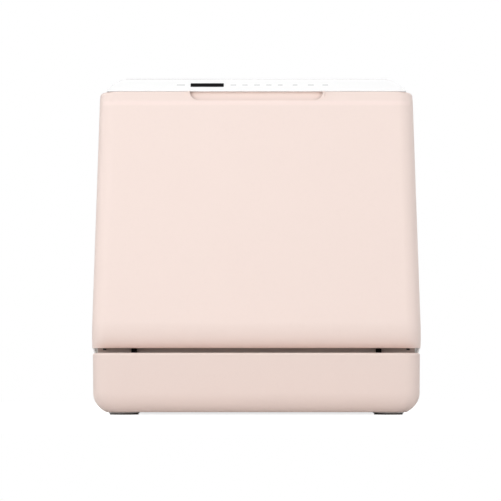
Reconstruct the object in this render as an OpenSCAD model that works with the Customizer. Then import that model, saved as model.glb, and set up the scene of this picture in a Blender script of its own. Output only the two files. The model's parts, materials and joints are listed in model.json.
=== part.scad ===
// Countertop dishwasher with a drop-down front door, one pull-out rack and a built-in water tank.
// Millimetres. +Z is up, the door faces -Y, and the origin lies on the table under the middle.

/* [Cabinet] */
// Overall height above the table
body_h = 435; // [425:1:460]
// Overall depth from the door's face to the tips of the rear ports
body_d = 435; // [430:1:460]
// Width across the bottom of the door
width_low = 420; // [416:1:440]
// How far each side leans in from the seam up to the crease
side_lean = 10; // [8:0.5:12]
// How far the plinth stands in from the door on each side
plinth_inset = 2; // [1.5:0.1:3]
// Radius of the cabinet's top side edges
top_edge_r = 28; // [20:1:32]
// Radius of the bottom edges
bottom_edge_r = 28; // [24:1:32]
// Sheet thickness of the white wrapper
shell_t = 2.5; // [1.5:0.1:3]
// Thickness of the rear sheet
back_t = 2; // [1.5:0.1:3]
// Length of the ports behind the rear sheet
port_len = 10; // [8:0.5:12]
// Height of the underside above the table
foot_h = 3.5; // [3:0.1:5]
// Radius of a foot
foot_r = 20; // [15:1:22]
// Height of the plinth's top ledge
seam_z = 79; // [78:1:84]
// Gap between plinth and door
seam_gap = 6; // [4.5:0.1:6.5]
// How far the plinth's front lies behind the door's
plinth_setback = 2; // [1:0.5:4]
// How far the plinth's foot lies behind its top edge
plinth_lean = 12; // [6:0.5:14]

/* [Door] */
// Depth of the door's side walls
door_depth = 45; // [44:0.5:46]
// Wall of the moulded door shell
door_wall = 3; // [2.5:0.1:3.2]
// Radius of the upright front edges
door_edge_r = 20; // [14:1:24]
// Radius of the door's bottom edge
door_round_r = 38; // [34:0.5:42]
// Degrees that the bottom edge turns through before it ends in the underside
door_round_a = 60; // [50:1:70]
// Distance of the hinge axis behind the door's face
hinge_back = 17; // [16.5:0.1:18]
// Distance of the hinge axis above the door's lowest edge
hinge_rise = 16; // [15.5:0.1:17]
// Height of the crease below the overall height
crease_drop = 39; // [36:1:42]
// Height of the sloping lip above the crease
lip_h = 15; // [13:0.5:16]
// How far the lip leans back
lip_lean = 8.5; // [7:0.5:10]
// Rounding of the crease
crease_r = 8; // [5:1:10]
// Width of the grip recess in the lip
grip_w = 169; // [150:1:180]
// Height of the grip recess as seen from the front
grip_h = 11.5; // [10:0.5:12.5]
// Depth of the recess below its front edge, for the fingertips
grip_dip = 3; // [2:0.5:5]
// How far the recess runs back at the top of the lip
grip_run = 15; // [12:0.5:18]

/* [Control strip] */
// Depth of the sloping strip from its nose to its crest
strip_depth = 59; // [54:1:62]
// Wall of the strip's moulding
strip_wall = 3; // [2.5:0.1:3.5]
// Gap between the top of the door's lip and the strip
strip_gap = 0.5; // [0.4:0.1:1.2]
// Width of the display window
display_w = 42.8; // [36:0.1:50]
// Height of the display window along the slope
display_l = 8.8; // [7:0.1:10]
// Distance of the display's middle to the left of the middle
display_x = 63.1; // [58:0.1:70]

/* [Washing chamber] */
// Room between the plinth's side and the tub's clear width
tub_side_gap = 38; // [36:1:40]
// Height of the tub floor above the plinth's top ledge
tub_rise = 21; // [20:1:23]
// Room between the tub's ceiling and the cabinet's top
tub_roof_gap = 49; // [47:1:55]
// Sheet thickness of the tub
tub_t = 2; // [1.5:0.1:2.2]
// Inner corner radius of the tub
tub_r = 18; // [12:1:20]
// Height of the sill at the tub's mouth
sill_h = 28; // [24:1:30]
// Width of the flange round the mouth
flange_w = 13; // [11:0.5:14]
// Thickness of the door seal
gasket_t = 7.2; // [6.6:0.1:7.6]

/* [Rack] */
// Room between the rack and the tub's side walls
rack_side_gap = 20; // [18:1:24]
// Room between the rack and the ends of the tub
rack_end_gap = 24; // [23:1:28]
// Height of the rack's basket
rack_h = 84; // [70:1:90]
// Radius of the rack's main wires
wire_r = 2; // [1.8:0.1:2.2]
// Radius of the upright plate holders
tine_r = 1.6; // [1.4:0.1:1.8]
// Height of the plate holders
tine_h = 58; // [45:1:62]
// Distance from one plate to the next
tine_pitch = 26; // [22:1:30]
// Radius of a rack roller
roller_r = 8; // [7:0.5:8.5]

/* [Spray arms] */
// Room between the tips of the spray arms and the tub
spray_tip_gap = 23; // [19:1:40]
// Width of an arm at its hub
spray_w = 30; // [24:1:32]
// Radius of the post that carries the lower arm
post_r = 7; // [6:0.5:8]
// Running clearance between an arm and its post
post_gap = 0.08; // [0.05:0.01:0.1]

/* [Water and pumps] */
// Depth of the built-in tank
tank_depth = 44; // [38:1:46]
// How far the built-in tank reaches above the tub
tank_rise = 6; // [2:1:8]
// Outer radius of the filling neck
neck_r = 24; // [20:1:26]
// Wash pump's outer radius
wash_r = 34; // [30:1:36]
// Drain pump's outer radius
drain_r = 24; // [20:1:26]
// Outer radius of the water inlet thread
inlet_r = 13.2; // [12:0.1:14]
// Outer radius of the drain outlet
drain_port_r = 10; // [8:0.5:11]

/* [Hidden] */
$fn = 48;
eps = 0.01;
seat = 0.3;          // clearance of a piece that rests beside another
run_gap = 0.06;      // radial clearance of a running fit

front_y = -body_d / 2;
back_y = body_d / 2 - port_len;
door_z = seam_z + seam_gap;
crease_z = body_h - crease_drop;
width_high = width_low - 2 * side_lean;
plinth_w = width_low - 2 * plinth_inset;
lip_z = crease_z + lip_h;
door_back_y = front_y + door_depth;
door_gap = 3;
cabinet_y = door_back_y + door_gap;
hinge_y = front_y + hinge_back;
hinge_z = door_z + hinge_rise;
hinge_x = plinth_w / 2 - 51.6;
taper = (width_low - width_high) / 2 / (crease_z - seam_z);
bottom_dip = 3;      // part of the bottom rounding that the flat underside cuts away
arc_steps = 12;

liner_inset = 5.5;   // how far the liner lies inside the side walls' back edge
liner_y = door_back_y - liner_inset;
liner_t = 2.5;
flange_y = liner_y + gasket_t + 0.4;
frame_y = flange_y + tub_t + 0.2;
frame_t = 3;
tub_floor_z = seam_z + tub_rise;
tub_top_z = body_h - tub_roof_gap;
tank_gap = 3;        // between the tub's rear wall and the tank
tank_back_gap = 6.9; // between the tank and the rear sheet
tub_back_y = back_y - back_t - tank_back_gap - tank_depth - tank_gap;
tub_depth = tub_back_y - flange_y;
tub_half = plinth_w / 2 - tub_side_gap;
spray_reach = tub_depth / 2 - spray_tip_gap;

// Half width of the cabinet and door at height z
function half_w(z) = width_low / 2 - max(0, z - seam_z) * taper;
function arc(x, y, r, a0, a1, n = arc_steps) =
    [for (i = [0:n]) let (a = a0 + (a1 - a0) * i / n) [x + r * cos(a), y + r * sin(a)]];
function mirrored(points) = [for (i = [len(points) - 1:-1:0]) [-points[i][0], points[i][1]]];
function rounded_box(x0, y0, x1, y1, r) = concat(
    arc(x1 - r, y0 + r, r, -90, 0, 6), arc(x1 - r, y1 - r, r, 0, 90, 6),
    arc(x0 + r, y1 - r, r, 90, 180, 6), arc(x0 + r, y0 + r, r, 180, 270, 6));

// Front outline of the cabinet, drawn inwards by "inset"
function body_half(inset) = let (
    low_w = plinth_w / 2 - inset,
    low_r = bottom_edge_r - inset,
    low_z = foot_h - bottom_dip + bottom_edge_r,
    low_a = -asin((low_z - foot_h - inset) / low_r),
    top_r = top_edge_r - inset,
    top_z = body_h - top_edge_r,
    top_w = half_w(top_z) - inset)
    concat(arc(low_w - low_r, low_z, low_r, low_a, 0), [[low_w, seam_z], [half_w(door_z) - inset, door_z]],
        arc(top_w - top_r, top_z, top_r, 0, 90));
function body_outline(inset = 0) = concat(body_half(inset), mirrored(body_half(inset)));

// Extrudes a y-z outline along X between x0 and x1
module along_x(x0, x1) {
    translate([x0, 0, 0])
        rotate([90, 0, 90])
            linear_extrude(x1 - x0)
                children();
}

// Extrudes an x-z outline along Y between y0 and y1
module along_y(y0, y1) {
    translate([0, y1, 0])
        rotate([90, 0, 0])
            linear_extrude(y1 - y0)
                children();
}

module rod_x(x0, x1, r, sides = 48) {
    translate([x0, 0, 0])
        rotate([0, 90, 0])
            cylinder(h = x1 - x0, r = r, $fn = sides);
}

module rod_y(y0, y1, r, sides = 48) {
    translate([0, y1, 0])
        rotate([90, 0, 0])
            cylinder(h = y1 - y0, r = r, $fn = sides);
}

module both_sides() {
    children();
    mirror([1, 0, 0])
        children();
}

// ---- Moulded trays: an open-backed shell lofted through plan outlines ----

corner_steps = 8;

// Plan path from the left back edge round the front to the right back edge
function tray_path(z, yf, yb, w, r) = concat(
    [[-w, yb, z]],
    [for (p = arc(-w + r, yf + r, r, 180, 270, corner_steps)) [p[0], p[1], z]],
    [for (p = arc(w - r, yf + r, r, 270, 360, corner_steps)) [p[0], p[1], z]],
    [[w, yb, z]]);

// Triangles between two neighbouring rows of n points that start at a and b
function strip(a, b, n) = [for (i = [0:n - 2]) each [[a + i, a + i + 1, b + i + 1], [a + i, b + i + 1, b + i]]];
function flip(faces) = [for (f = faces) [for (i = [len(f) - 1:-1:0]) f[i]]];

// Each level is [z, front y, back y, half width, corner radius]
module tray(outer, inner) {
    rows = len(outer);
    n = 2 * (corner_steps + 1) + 2;
    base = rows * n;
    points = concat(
        [for (l = outer) each tray_path(l[0], l[1], l[2], l[3], l[4])],
        [for (l = inner) each tray_path(l[0], l[1], l[2], l[3], l[4])]);
    skin = [for (j = [0:rows - 2]) each strip(j * n, (j + 1) * n, n)];
    inner_skin = [for (f = skin) [base + f[2], base + f[1], base + f[0]]];
    top = (rows - 1) * n;
    left_rim = [for (j = [0:rows - 2]) let (a = j * n, b = a + n)
        each [[a, b, base + b], [a, base + b, base + a]]];
    right_rim = [for (j = [0:rows - 2]) let (a = j * n + n - 1, b = a + n)
        each [[b, a, base + b], [a, base + a, base + b]]];
    low_rim = [[0, base, n - 1], [base, base + n - 1, n - 1]];
    high_rim = [[top, top + n - 1, base + top], [top + n - 1, base + top + n - 1, base + top]];
    low_cap = [[for (i = [n - 1:-1:0]) i]];
    low_inner_cap = [[for (i = [0:n - 1]) base + i]];
    high_cap = [[for (i = [0:n - 1]) top + i]];
    high_inner_cap = [[for (i = [n - 1:-1:0]) base + top + i]];
    polyhedron(points = points, faces = flip(concat(skin, inner_skin, left_rim, right_rim, low_rim,
        high_rim, low_cap, low_inner_cap, high_cap, high_inner_cap)), convexity = 8);
}

// ---- Door ----

heel_r = 8;          // rounding of the side walls' lower back corner
crown_r = 18;        // rounding of the side walls' upper back corner
crown_side_r = 10;   // rounding of the door's top corners as seen from the front
lean_a = atan(lip_lean / lip_h);

// Back edge of the door's side walls at height z
function door_back(z) =
    z < door_z + heel_r ? door_back_y - heel_r + sqrt(pow(heel_r, 2) - pow(door_z + heel_r - z, 2)) :
    z > lip_z - crown_r ? door_back_y - crown_r + sqrt(max(0, pow(crown_r, 2) - pow(z - lip_z + crown_r, 2))) :
    door_back_y;

// Front face of the door at height z above the crease, t inside the outer skin
function lip_front(z, t) = let (
    end_y = front_y + crease_r - (crease_r - t) * cos(lean_a),
    end_z = crease_z + (crease_r - t) * sin(lean_a))
    end_y + max(0, z - end_z) * tan(lean_a);

function door_level(z, yf, t, drop) = let (
    yb = door_back(z),
    w = half_w(z) - t - drop,
    r = min(door_edge_r - t, yb - yf - 0.2))
    [z, yf, yb, w, r];

function door_levels(t) = let (
    first = 90 - door_round_a,
    arc_z = door_z + door_round_r * cos(first),
    arc_y = front_y + door_round_r,
    corner_z = lip_z - crown_side_r)
    concat(
        [for (k = [0:10]) let (a = first + door_round_a * k / 10)
            door_level(arc_z - (door_round_r - t) * cos(a), arc_y - (door_round_r - t) * sin(a), t, 0)],
        [for (k = [0:4]) let (a = lean_a * k / 4)
            door_level(crease_z + (crease_r - t) * sin(a), front_y + crease_r - (crease_r - t) * cos(a), t, 0)],
        [for (k = [1:5]) let (a = 18 * k, z = corner_z + (crown_side_r - t) * sin(a))
            door_level(z, lip_front(z, t), t, crown_side_r - t - (crown_side_r - t) * cos(a))]);

grip_floor_z = lip_z - grip_h;
grip_block_t = 2.5;
grip_corner_r = 11;
grip_front_y = lip_front(grip_floor_z, 0) + 4;
grip_flat = 3;       // flat floor of the recess before its ramp
grip_back_y = grip_front_y + grip_run;
grip_low_z = grip_floor_z - grip_dip;
ramp_a = atan((lip_z - grip_low_z) / (grip_run - grip_flat));

// Side view of the recess behind its front edge: a flat for the fingertips, then a ramp to the lip's top
grip_scoop = [[grip_front_y, lip_z + 20], [grip_front_y, grip_low_z], [grip_front_y + grip_flat, grip_low_z],
    [grip_back_y, lip_z], [grip_back_y, lip_z + 20]];

// Side view of the wall behind the recess
grip_wall = [[grip_front_y - 2, grip_low_z - grip_block_t],
    [grip_front_y + grip_flat + grip_block_t * tan(ramp_a / 2), grip_low_z - grip_block_t],
    [grip_back_y + grip_block_t / sin(ramp_a) - 0.5 / tan(ramp_a), lip_z - 0.5],
    [grip_front_y - 2, lip_z - 0.5]];

slot_w = 8;
slot_front = 8;      // how far behind the hinge axis the bracket's slot starts
slot_top_z = hinge_z + 24;

module hinge_slots(y1) {
    both_sides()
        translate([hinge_x - slot_w / 2, hinge_y + slot_front, door_z - 1])
            cube([slot_w, y1 - hinge_y - slot_front, slot_top_z - door_z + 1]);
}

module door_outer() {
    color("mistyrose")
        difference() {
            union() {
                tray(door_levels(0), door_levels(door_wall));
                intersection() {
                    along_x(-grip_w, grip_w)
                        polygon(grip_wall);
                    along_y(grip_front_y - 2, grip_back_y + 2 * grip_block_t)
                        polygon(rounded_box(-grip_w / 2 - grip_block_t, grip_low_z - grip_block_t,
                            grip_w / 2 + grip_block_t, lip_z + 20, grip_corner_r));
                }
            }
            intersection() {
                along_x(-grip_w, grip_w)
                    polygon(grip_scoop);
                along_y(grip_front_y - 1, grip_back_y + 1)
                    polygon(rounded_box(-grip_w / 2, grip_low_z, grip_w / 2, lip_z + 30, grip_corner_r));
            }
            along_y(front_y - 1, grip_front_y + 1)
                polygon(rounded_box(-grip_w / 2, grip_floor_z, grip_w / 2, lip_z + 20, grip_corner_r));
            hinge_slots(door_back_y + 1);
        }
}

dish_w = width_high - 110;
dish_z0 = door_z + 52;
dish_z1 = lip_z - 39;
dish_d = 12;
cup_x = 60;
cup_z = dish_z0 + 113;
cup_w = 96;
cup_h = 66;
cup_d = 13;

module door_liner() {
    low_z = door_z + door_wall + 0.6;
    top_z = lip_z - 7;
    side = door_wall + 0.6;
    color("whitesmoke")
        difference() {
            union() {
                along_y(liner_y - liner_t, liner_y)
                    polygon([[-half_w(low_z) + side, low_z], [half_w(low_z) - side, low_z],
                        [half_w(top_z) - side - 6, top_z], [-half_w(top_z) + side + 6, top_z]]);
                along_y(liner_y - liner_t - dish_d, liner_y - liner_t)
                    polygon(rounded_box(-dish_w / 2 - liner_t, dish_z0 - liner_t,
                        dish_w / 2 + liner_t, dish_z1 + liner_t, 20 + liner_t));
            }
            along_y(liner_y - dish_d, liner_y + 1)
                polygon(rounded_box(-dish_w / 2, dish_z0, dish_w / 2, dish_z1, 20));
            translate([cup_x - cup_w / 2 - seat, liner_y - liner_t - dish_d - 1, cup_z - cup_h / 2 - seat])
                cube([cup_w + 2 * seat, liner_t + dish_d, cup_h + 2 * seat]);
            hinge_slots(liner_y + 1);
        }
}

pin_r = 3;
eye_r = 6;
bracket_t = 5;
ear_t = 2.5;
ear_gap = 0.5;

// Steel clevis of the door, two ears on a web
module hinge_arm() {
    ear_x = bracket_t / 2 + ear_gap;
    web_y = liner_y - liner_t - 0.1;
    difference() {
        union() {
            for (x = [-ear_x - ear_t, ear_x])
                translate([hinge_x + x, 0, 0]) {
                    along_x(0, ear_t)
                        polygon([[hinge_y - eye_r, hinge_z], [hinge_y + eye_r, hinge_z - 2],
                            [web_y, hinge_z + 6], [web_y, hinge_z + 78], [web_y - 8, hinge_z + 78]]);
                    translate([0, hinge_y, hinge_z])
                        rod_x(0, ear_t, eye_r);
                }
            translate([hinge_x - ear_x - ear_t, web_y - 2.5, hinge_z + 34])
                cube([2 * (ear_x + ear_t), 2.5, 44]);
        }
        translate([hinge_x - 10, hinge_y, hinge_z])
            rod_x(0, 20, pin_r + run_gap);
    }
}

module hinge_arms() {
    color("silver")
        both_sides()
            hinge_arm();
}

// Goose-neck bracket: up and back from the pin, then down behind the door's heel
module hinge_bracket() {
    foot_y = frame_y - 0.1 - hinge_y;
    difference() {
        union() {
            translate([hinge_x - bracket_t / 2, hinge_y, hinge_z])
                along_x(0, bracket_t)
                    polygon([[-2, 5.5], [9, 19], [26, 19], [26, -28], [foot_y, -28], [foot_y, -62], [18, -62],
                        [18, 9.5], [12, 9.5], [5, -2]]);
            translate([hinge_x - bracket_t / 2, hinge_y, hinge_z])
                rod_x(0, bracket_t, eye_r);
            translate([hinge_x - 9, hinge_y + foot_y - 2.5, hinge_z - 62])
                cube([18, 2.5, 34]);
        }
        translate([hinge_x - 10, hinge_y, hinge_z])
            rod_x(0, 20, pin_r + 0.02);
    }
}

module hinge_bracket_right() {
    color("dimgray")
        hinge_bracket();
}

module hinge_bracket_left() {
    color("dimgray")
        mirror([1, 0, 0])
            hinge_bracket();
}

module hinge_pins() {
    half = bracket_t / 2 + ear_gap + ear_t + seat;
    color("silver")
        both_sides()
            translate([hinge_x, hinge_y, hinge_z]) {
                rod_x(-half - 1.5, half + 1.5, pin_r);
                rod_x(half, half + 1.5, pin_r + 1.5);
                rod_x(-half - 1.5, -half, pin_r + 1.5);
            }
}

strike_z = lip_z - 10;
strike_reach = 18;
strike_hw = 10;

module door_strike() {
    back = liner_y + strike_reach;
    color("silver")
        difference() {
            union() {
                translate([-strike_hw, liner_y + 0.1, strike_z])
                    cube([2 * strike_hw, strike_reach, 2]);
                translate([-strike_hw - 4, liner_y + 0.1, strike_z - 5])
                    cube([2 * strike_hw + 8, 2, 7]);
            }
            translate([-strike_hw + 4, back - 12.5, strike_z - 1])
                cube([2 * strike_hw - 8, 10, 4]);
        }
}

module detergent_cup() {
    y1 = liner_y - dish_d + 1.5;
    y0 = y1 - cup_d;
    color("gainsboro")
        difference() {
            union() {
                translate([cup_x - cup_w / 2, y0, cup_z - cup_h / 2])
                    cube([cup_w, cup_d, cup_h]);
                translate([cup_x - cup_w / 2 - 4, liner_y - dish_d + seat, cup_z - cup_h / 2 - 4])
                    cube([cup_w + 8, y1 - liner_y + dish_d - seat, cup_h + 8]);
            }
            along_y(y0 + 2, y1 + 1)
                polygon(rounded_box(cup_x - cup_w / 2 + 4, cup_z - cup_h / 2 + 4,
                    cup_x - cup_w / 2 + 50, cup_z + cup_h / 2 - 4, 8));
            translate([cup_x + cup_w / 2 - 20, 0, cup_z])
                rod_y(y0 + 2, y1 + 1, 13);
        }
}

// Sliding cover of the detergent cup
module detergent_lid() {
    y0 = liner_y - dish_d + 1.5 + seat;
    color("lightgray") {
        translate([cup_x - cup_w / 2 + 1, y0, cup_z - cup_h / 2 + 1])
            cube([52, 2.2, cup_h - 2]);
        translate([cup_x - cup_w / 2 + 40, y0 + 2.2, cup_z - 14])
            cube([5, 3, 28]);
    }
}

module door_bumpers() {
    color("dimgray")
        both_sides()
            translate([plinth_w / 2 - 14.2, door_back_y - heel_r - 4, door_z - 2.6])
                cylinder(h = 2.5, r = 2.2);
}

// ---- Cabinet ----

fascia_back_y = front_y + lip_lean + strip_depth + 6;
fascia_nose_z = lip_z + strip_gap;

module outer_shell() {
    color("white")
        difference() {
            along_y(cabinet_y, back_y)
                difference() {
                    polygon(body_outline());
                    polygon(body_outline(shell_t));
                    translate([-floor_gap_w / 2, 0])
                        square([floor_gap_w, foot_h + 10]);
                }
            translate([-width_low, cabinet_y - 1, lip_z - crown_r - seat])
                cube([2 * width_low, fascia_back_y + seat - cabinet_y + 1, body_h]);
            translate([cap_x, cap_y, body_h - 10])
                cylinder(h = 20, r = neck_r + seat);
            foot_holes();
        }
}

floor_gap_w = plinth_w - 146;   // open width between the wrapper's bottom lips
stud_hole_r = 5;

module foot_holes() {
    both_sides()
        for (y = [foot_y, rear_foot_y])
            translate([foot_x, y, foot_h - 1])
                cylinder(h = 20, r = stud_hole_r);
}

module front_frame() {
    color("whitesmoke")
        difference() {
            along_y(frame_y, frame_y + frame_t)
                intersection() {
                    difference() {
                        polygon(body_outline(shell_t + seat));
                        polygon(rounded_box(-tub_half - tub_t - seat, tub_floor_z - tub_t - seat,
                            tub_half + tub_t + seat, tub_top_z + tub_t + seat, tub_r + tub_t));
                    }
                    translate([-width_low, foot_h + 6])
                        square([2 * width_low, lip_z - foot_h - 2]);
                }
            both_sides()
                translate([cheek_x - 1, frame_y - 1, fascia_low_z - seat])
                    cube([60, frame_t + 2, body_h]);
            translate([-strike_hw - 3, frame_y - 1, strike_z - 3])
                cube([2 * strike_hw + 6, frame_t + 2, 30]);
        }
}

plinth_wall = 2.5;
plinth_back_y = cabinet_y - seat;
ledge_r = 3;

// How far the plinth's face lies behind the door's at height z
function plinth_back(z) = plinth_setback + plinth_lean * (seam_z - z) / (seam_z - foot_h);
function plinth_level(z, yf, w, t) = [z, yf + plinth_back(z), plinth_back_y, w - t, door_edge_r - t];
function plinth_levels(t) = let (
    low_z = foot_h - bottom_dip + bottom_edge_r,
    r = bottom_edge_r,
    first = acos((low_z - foot_h - t) / (r - t)))
    concat(
        [for (k = [0:8]) let (a = first + (90 - first) * k / 8)
            plinth_level(low_z - (r - t) * cos(a), front_y + r - (r - t) * sin(a),
                plinth_w / 2 - r + (r - t) * sin(a) + t, t)],
        [for (k = [0:4]) let (a = 22.5 * k, e = ledge_r - min(t, ledge_r - 0.4))
            plinth_level(seam_z - t - e + e * sin(a), front_y + t + e - e * cos(a),
                plinth_w / 2 - e + e * cos(a), t)]);

module plinth_cover() {
    color("mistyrose")
        difference() {
            tray(plinth_levels(0), plinth_levels(plinth_wall));
            both_sides() {
                translate([hinge_x - slot_w / 2, hinge_y + 14, seam_z - 10])
                    cube([slot_w, 40, 20]);
            }
            foot_holes();
        }
}

foot_x = plinth_w / 2 - 38;
foot_y = frame_y + frame_t + 9;
rear_foot_y = back_y - 38;
tray_t = 2.5;
tray_hw = plinth_w / 2 - 22;
tray_z = foot_h + shell_t + 0.1;
tray_wall_h = 22;
rib_top_z = tray_z + tray_t + 4;

// Floor of the machine with a turned-up edge, ribs and four bosses for the feet
module base_tray() {
    y0 = frame_y + frame_t + seat;
    y1 = back_y - back_t - seat;
    color("silver")
        difference() {
            union() {
                difference() {
                    translate([-tray_hw, y0, tray_z])
                        cube([2 * tray_hw, y1 - y0, tray_wall_h]);
                    translate([-tray_hw + tray_t, y0 + tray_t, tray_z + tray_t])
                        cube([2 * (tray_hw - tray_t), y1 - y0 - 2 * tray_t, tray_wall_h]);
                }
                for (x = [-110:44:110])
                    translate([x - 1, y0 + 1, tray_z + 1])
                        cube([2, y1 - y0 - 2, tray_t + 3]);
                both_sides()
                    for (y = [foot_y, rear_foot_y])
                        translate([foot_x, y, tray_z])
                            cylinder(h = 9, r = 7);
            }
            both_sides()
                for (y = [foot_y, rear_foot_y])
                    translate([foot_x, y, 0])
                        cylinder(h = 60, r = stud_r + 0.1);
        }
}

stud_r = 3.6;

module one_foot(y) {
    translate([foot_x, y, 0]) {
        translate([0, 0, 1.8])
            cylinder(h = foot_h - 1.8 - 0.05, r1 = foot_r - 0.6, r2 = foot_r);
        cylinder(h = tray_z + 8, r = stud_r);
    }
}

module feet() {
    color("lightgray")
        both_sides()
            for (y = [foot_y, rear_foot_y])
                difference() {
                    one_foot(y);
                    translate([foot_x, y, -1])
                        cylinder(h = 2.8, r = 5);
                }
}

module foot_pads() {
    color("dimgray")
        both_sides()
            for (y = [foot_y, rear_foot_y])
                translate([foot_x, y, 0])
                    cylinder(h = 1.75, r = foot_r - 1.5);
}

filter_x = -62;
outlet_x = filter_x - 8;
inlet_x = outlet_x - 50;
inlet_z = 58;
power_x = plinth_w / 2 - 78;
power_z = 56;
vent_first = 30;     // from the middle to the nearest slot
vent_pitch = 20;
vent_r = 2;
vent_top_z = body_h - 55;
vent_h = 50;

module back_panel() {
    color("whitesmoke")
        difference() {
            along_y(back_y - back_t, back_y)
                polygon(body_outline(shell_t + seat));
            both_sides()
                for (x = [vent_first:vent_pitch:width_high / 2 - 50])
                    along_y(back_y - back_t - 1, back_y + 1)
                        polygon(rounded_box(x - vent_r, vent_top_z - vent_h, x + vent_r, vent_top_z,
                            vent_r - eps));
            translate([inlet_x, 0, inlet_z])
                rod_y(back_y - 10, back_y + 1, inlet_r + seat);
            translate([outlet_x, 0, inlet_z])
                rod_y(back_y - 10, back_y + 1, drain_port_r + seat);
            along_y(back_y - 10, back_y + 1)
                polygon(rounded_box(power_x - 14 - seat, power_z - 10 - seat, power_x + 14 + seat,
                    power_z + 10 + seat, 3));
            for (p = screw_places())
                translate([p[0], 0, p[1]])
                    rod_y(back_y - 10, back_y + 1, screw_r + 0.1);
        }
}

screw_r = 1.6;
screw_low_z = foot_h + 36.5;
screw_high_z = body_h - 75;
function screw_places() = [for (x = [-1, 1], k = [0:2])
    let (z = screw_low_z + (screw_high_z - screw_low_z) * k / 2) [x * (half_w(z) - 14), z]];

module case_screws() {
    color("silver")
        for (p = screw_places())
            translate([p[0], 0, p[1]]) {
                difference() {
                    rod_y(back_y + 0.05, back_y + 2.2, 3.4);
                    rod_y(back_y + 1.2, back_y + 3, 1.5, 6);
                }
                rod_y(back_y - back_t - 6, back_y + 0.1, screw_r);
            }
}

seam_x = tub_half - tub_r - 1;    // seams between the side channels and the flat sheets
seam_fit = 0.05;                  // clearance of a welded seam
bead_w = 3;                       // pressed ribs of the sheets
bead_h = 1.5;

// Keeps the stretch of its children between two heights of X
module slab_x(x0, x1) {
    intersection() {
        children();
        translate([x0, -body_d])
            cube([x1 - x0, 2 * body_d, body_h]);
    }
}

module tub_tube() {
    difference() {
        along_y(flange_y, tub_back_y)
            polygon(rounded_box(-tub_half - tub_t, tub_floor_z - tub_t, tub_half + tub_t, tub_top_z + tub_t,
                tub_r + tub_t));
        along_y(flange_y - 1, tub_back_y + 1)
            polygon(rounded_box(-tub_half, tub_floor_z, tub_half, tub_top_z, tub_r));
    }
}

// Front flange with the sill, round the mouth of the tub
module tub_flange() {
    out = tub_half + tub_t + flange_w - 4;
    difference() {
        along_y(flange_y, flange_y + tub_t)
            polygon(rounded_box(-out, tub_floor_z - tub_t - 2, out, tub_top_z + tub_t + flange_w - 4, tub_r + 8));
        along_y(flange_y - 1, flange_y + tub_t + 1)
            polygon(rounded_box(-tub_half, tub_floor_z + sill_h, tub_half, tub_top_z, tub_r));
    }
}

// Steel sheets of the washing chamber apart from its floor: two side channels, ceiling, rear wall and sill
module tub() {
    split_z = tub_floor_z + sill_h + tub_r + 2;
    color("lightsteelblue")
        difference() {
            union() {
                for (x = [[-body_d, -seam_x], [seam_x, body_d]])
                    slab_x(x[0], x[1])
                        union() {
                            tub_tube();
                            tub_flange();
                        }
                slab_x(-seam_x + seam_fit, seam_x - seam_fit)
                    difference() {
                        union() {
                            tub_tube();
                            tub_flange();
                        }
                        translate([-body_d, flange_y + tub_t, 0])
                            cube([2 * body_d, body_d, split_z]);
                    }
                along_y(tub_back_y - tub_t, tub_back_y)
                    polygon(rounded_box(-tub_half + seam_fit, tub_floor_z + seam_fit, tub_half - seam_fit,
                        tub_top_z - seam_fit, tub_r));
                for (x = [40:30:130])
                    both_sides()
                        along_y(tub_back_y - tub_t - bead_h, tub_back_y - 1)
                            polygon(rounded_box(x - bead_w, tub_floor_z + 90, x + bead_w, tub_top_z - 50,
                                bead_w - eps));
            }
            translate([0, fan_y, fan_z])
                rod_x(-tub_half - 10, -tub_half + 5, 16);
        }
}

module tub_floor() {
    color("lightsteelblue")
        difference() {
            translate([-seam_x + seam_fit, flange_y + tub_t + seam_fit, tub_floor_z - tub_t])
                cube([2 * (seam_x - seam_fit), tub_depth - tub_t - seam_fit, tub_t]);
            translate([-seam_x, tub_back_y - tub_t, tub_floor_z - tub_t + seam_fit])
                cube([2 * seam_x, tub_t + 1, tub_t]);
            translate([filter_x, filter_y, 0])
                cylinder(h = tub_floor_z + 1, r = filter_r + 1.5);
            translate([arm_x, arm_y, 0])
                cylinder(h = tub_floor_z + 1, r = post_r + 2.3);
            for (a = heater_ends)
                translate([arm_x + heater_r * cos(a), arm_y + heater_r * sin(a), 0])
                    cylinder(h = tub_floor_z + 1, r = heater_tube_r + seat);
            translate([feed_x, feed_y, 0])
                cylinder(h = tub_floor_z + 1, r = feed_r + seat);
        }
}

module door_gasket() {
    outer_off = 8;
    color("gray")
        difference() {
            along_y(liner_y + 0.15, flange_y - 0.15)
                polygon(rounded_box(-tub_half - outer_off, tub_floor_z + sill_h - outer_off,
                    tub_half + outer_off, tub_top_z + outer_off, tub_r + 6));
            along_y(liner_y - 1, flange_y + 1)
                polygon(rounded_box(-tub_half - 1, tub_floor_z + sill_h - 1, tub_half + 1,
                    tub_top_z + 1, tub_r));
        }
}

// Side view of the control strip: nose, slope, crest, joint to the wrapper, and the arc over the door
crest_r = 12;
nose_h = 1.5;
nose_y = front_y + lip_lean - 0.5;
slope_a = atan((body_h - fascia_nose_z - nose_h) / strip_depth);
crest_y = nose_y + strip_depth;
fascia_low_z = lip_z - crown_r;
crest_cut = crest_r * tan(slope_a / 2);
rear_lip_h = 10;
cheek_x = width_high / 2 - 14;

function fascia_side() = concat(
    [[nose_y, fascia_nose_z], [nose_y, fascia_nose_z + nose_h]],
    arc(crest_y + crest_cut, body_h - crest_r, crest_r, 90 + slope_a, 90, 5),
    [[fascia_back_y, body_h], [fascia_back_y, fascia_low_z], [cabinet_y, fascia_low_z]],
    arc(door_back_y - crown_r, lip_z - crown_r, crown_r + door_gap, 0, 78, 8));

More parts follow.
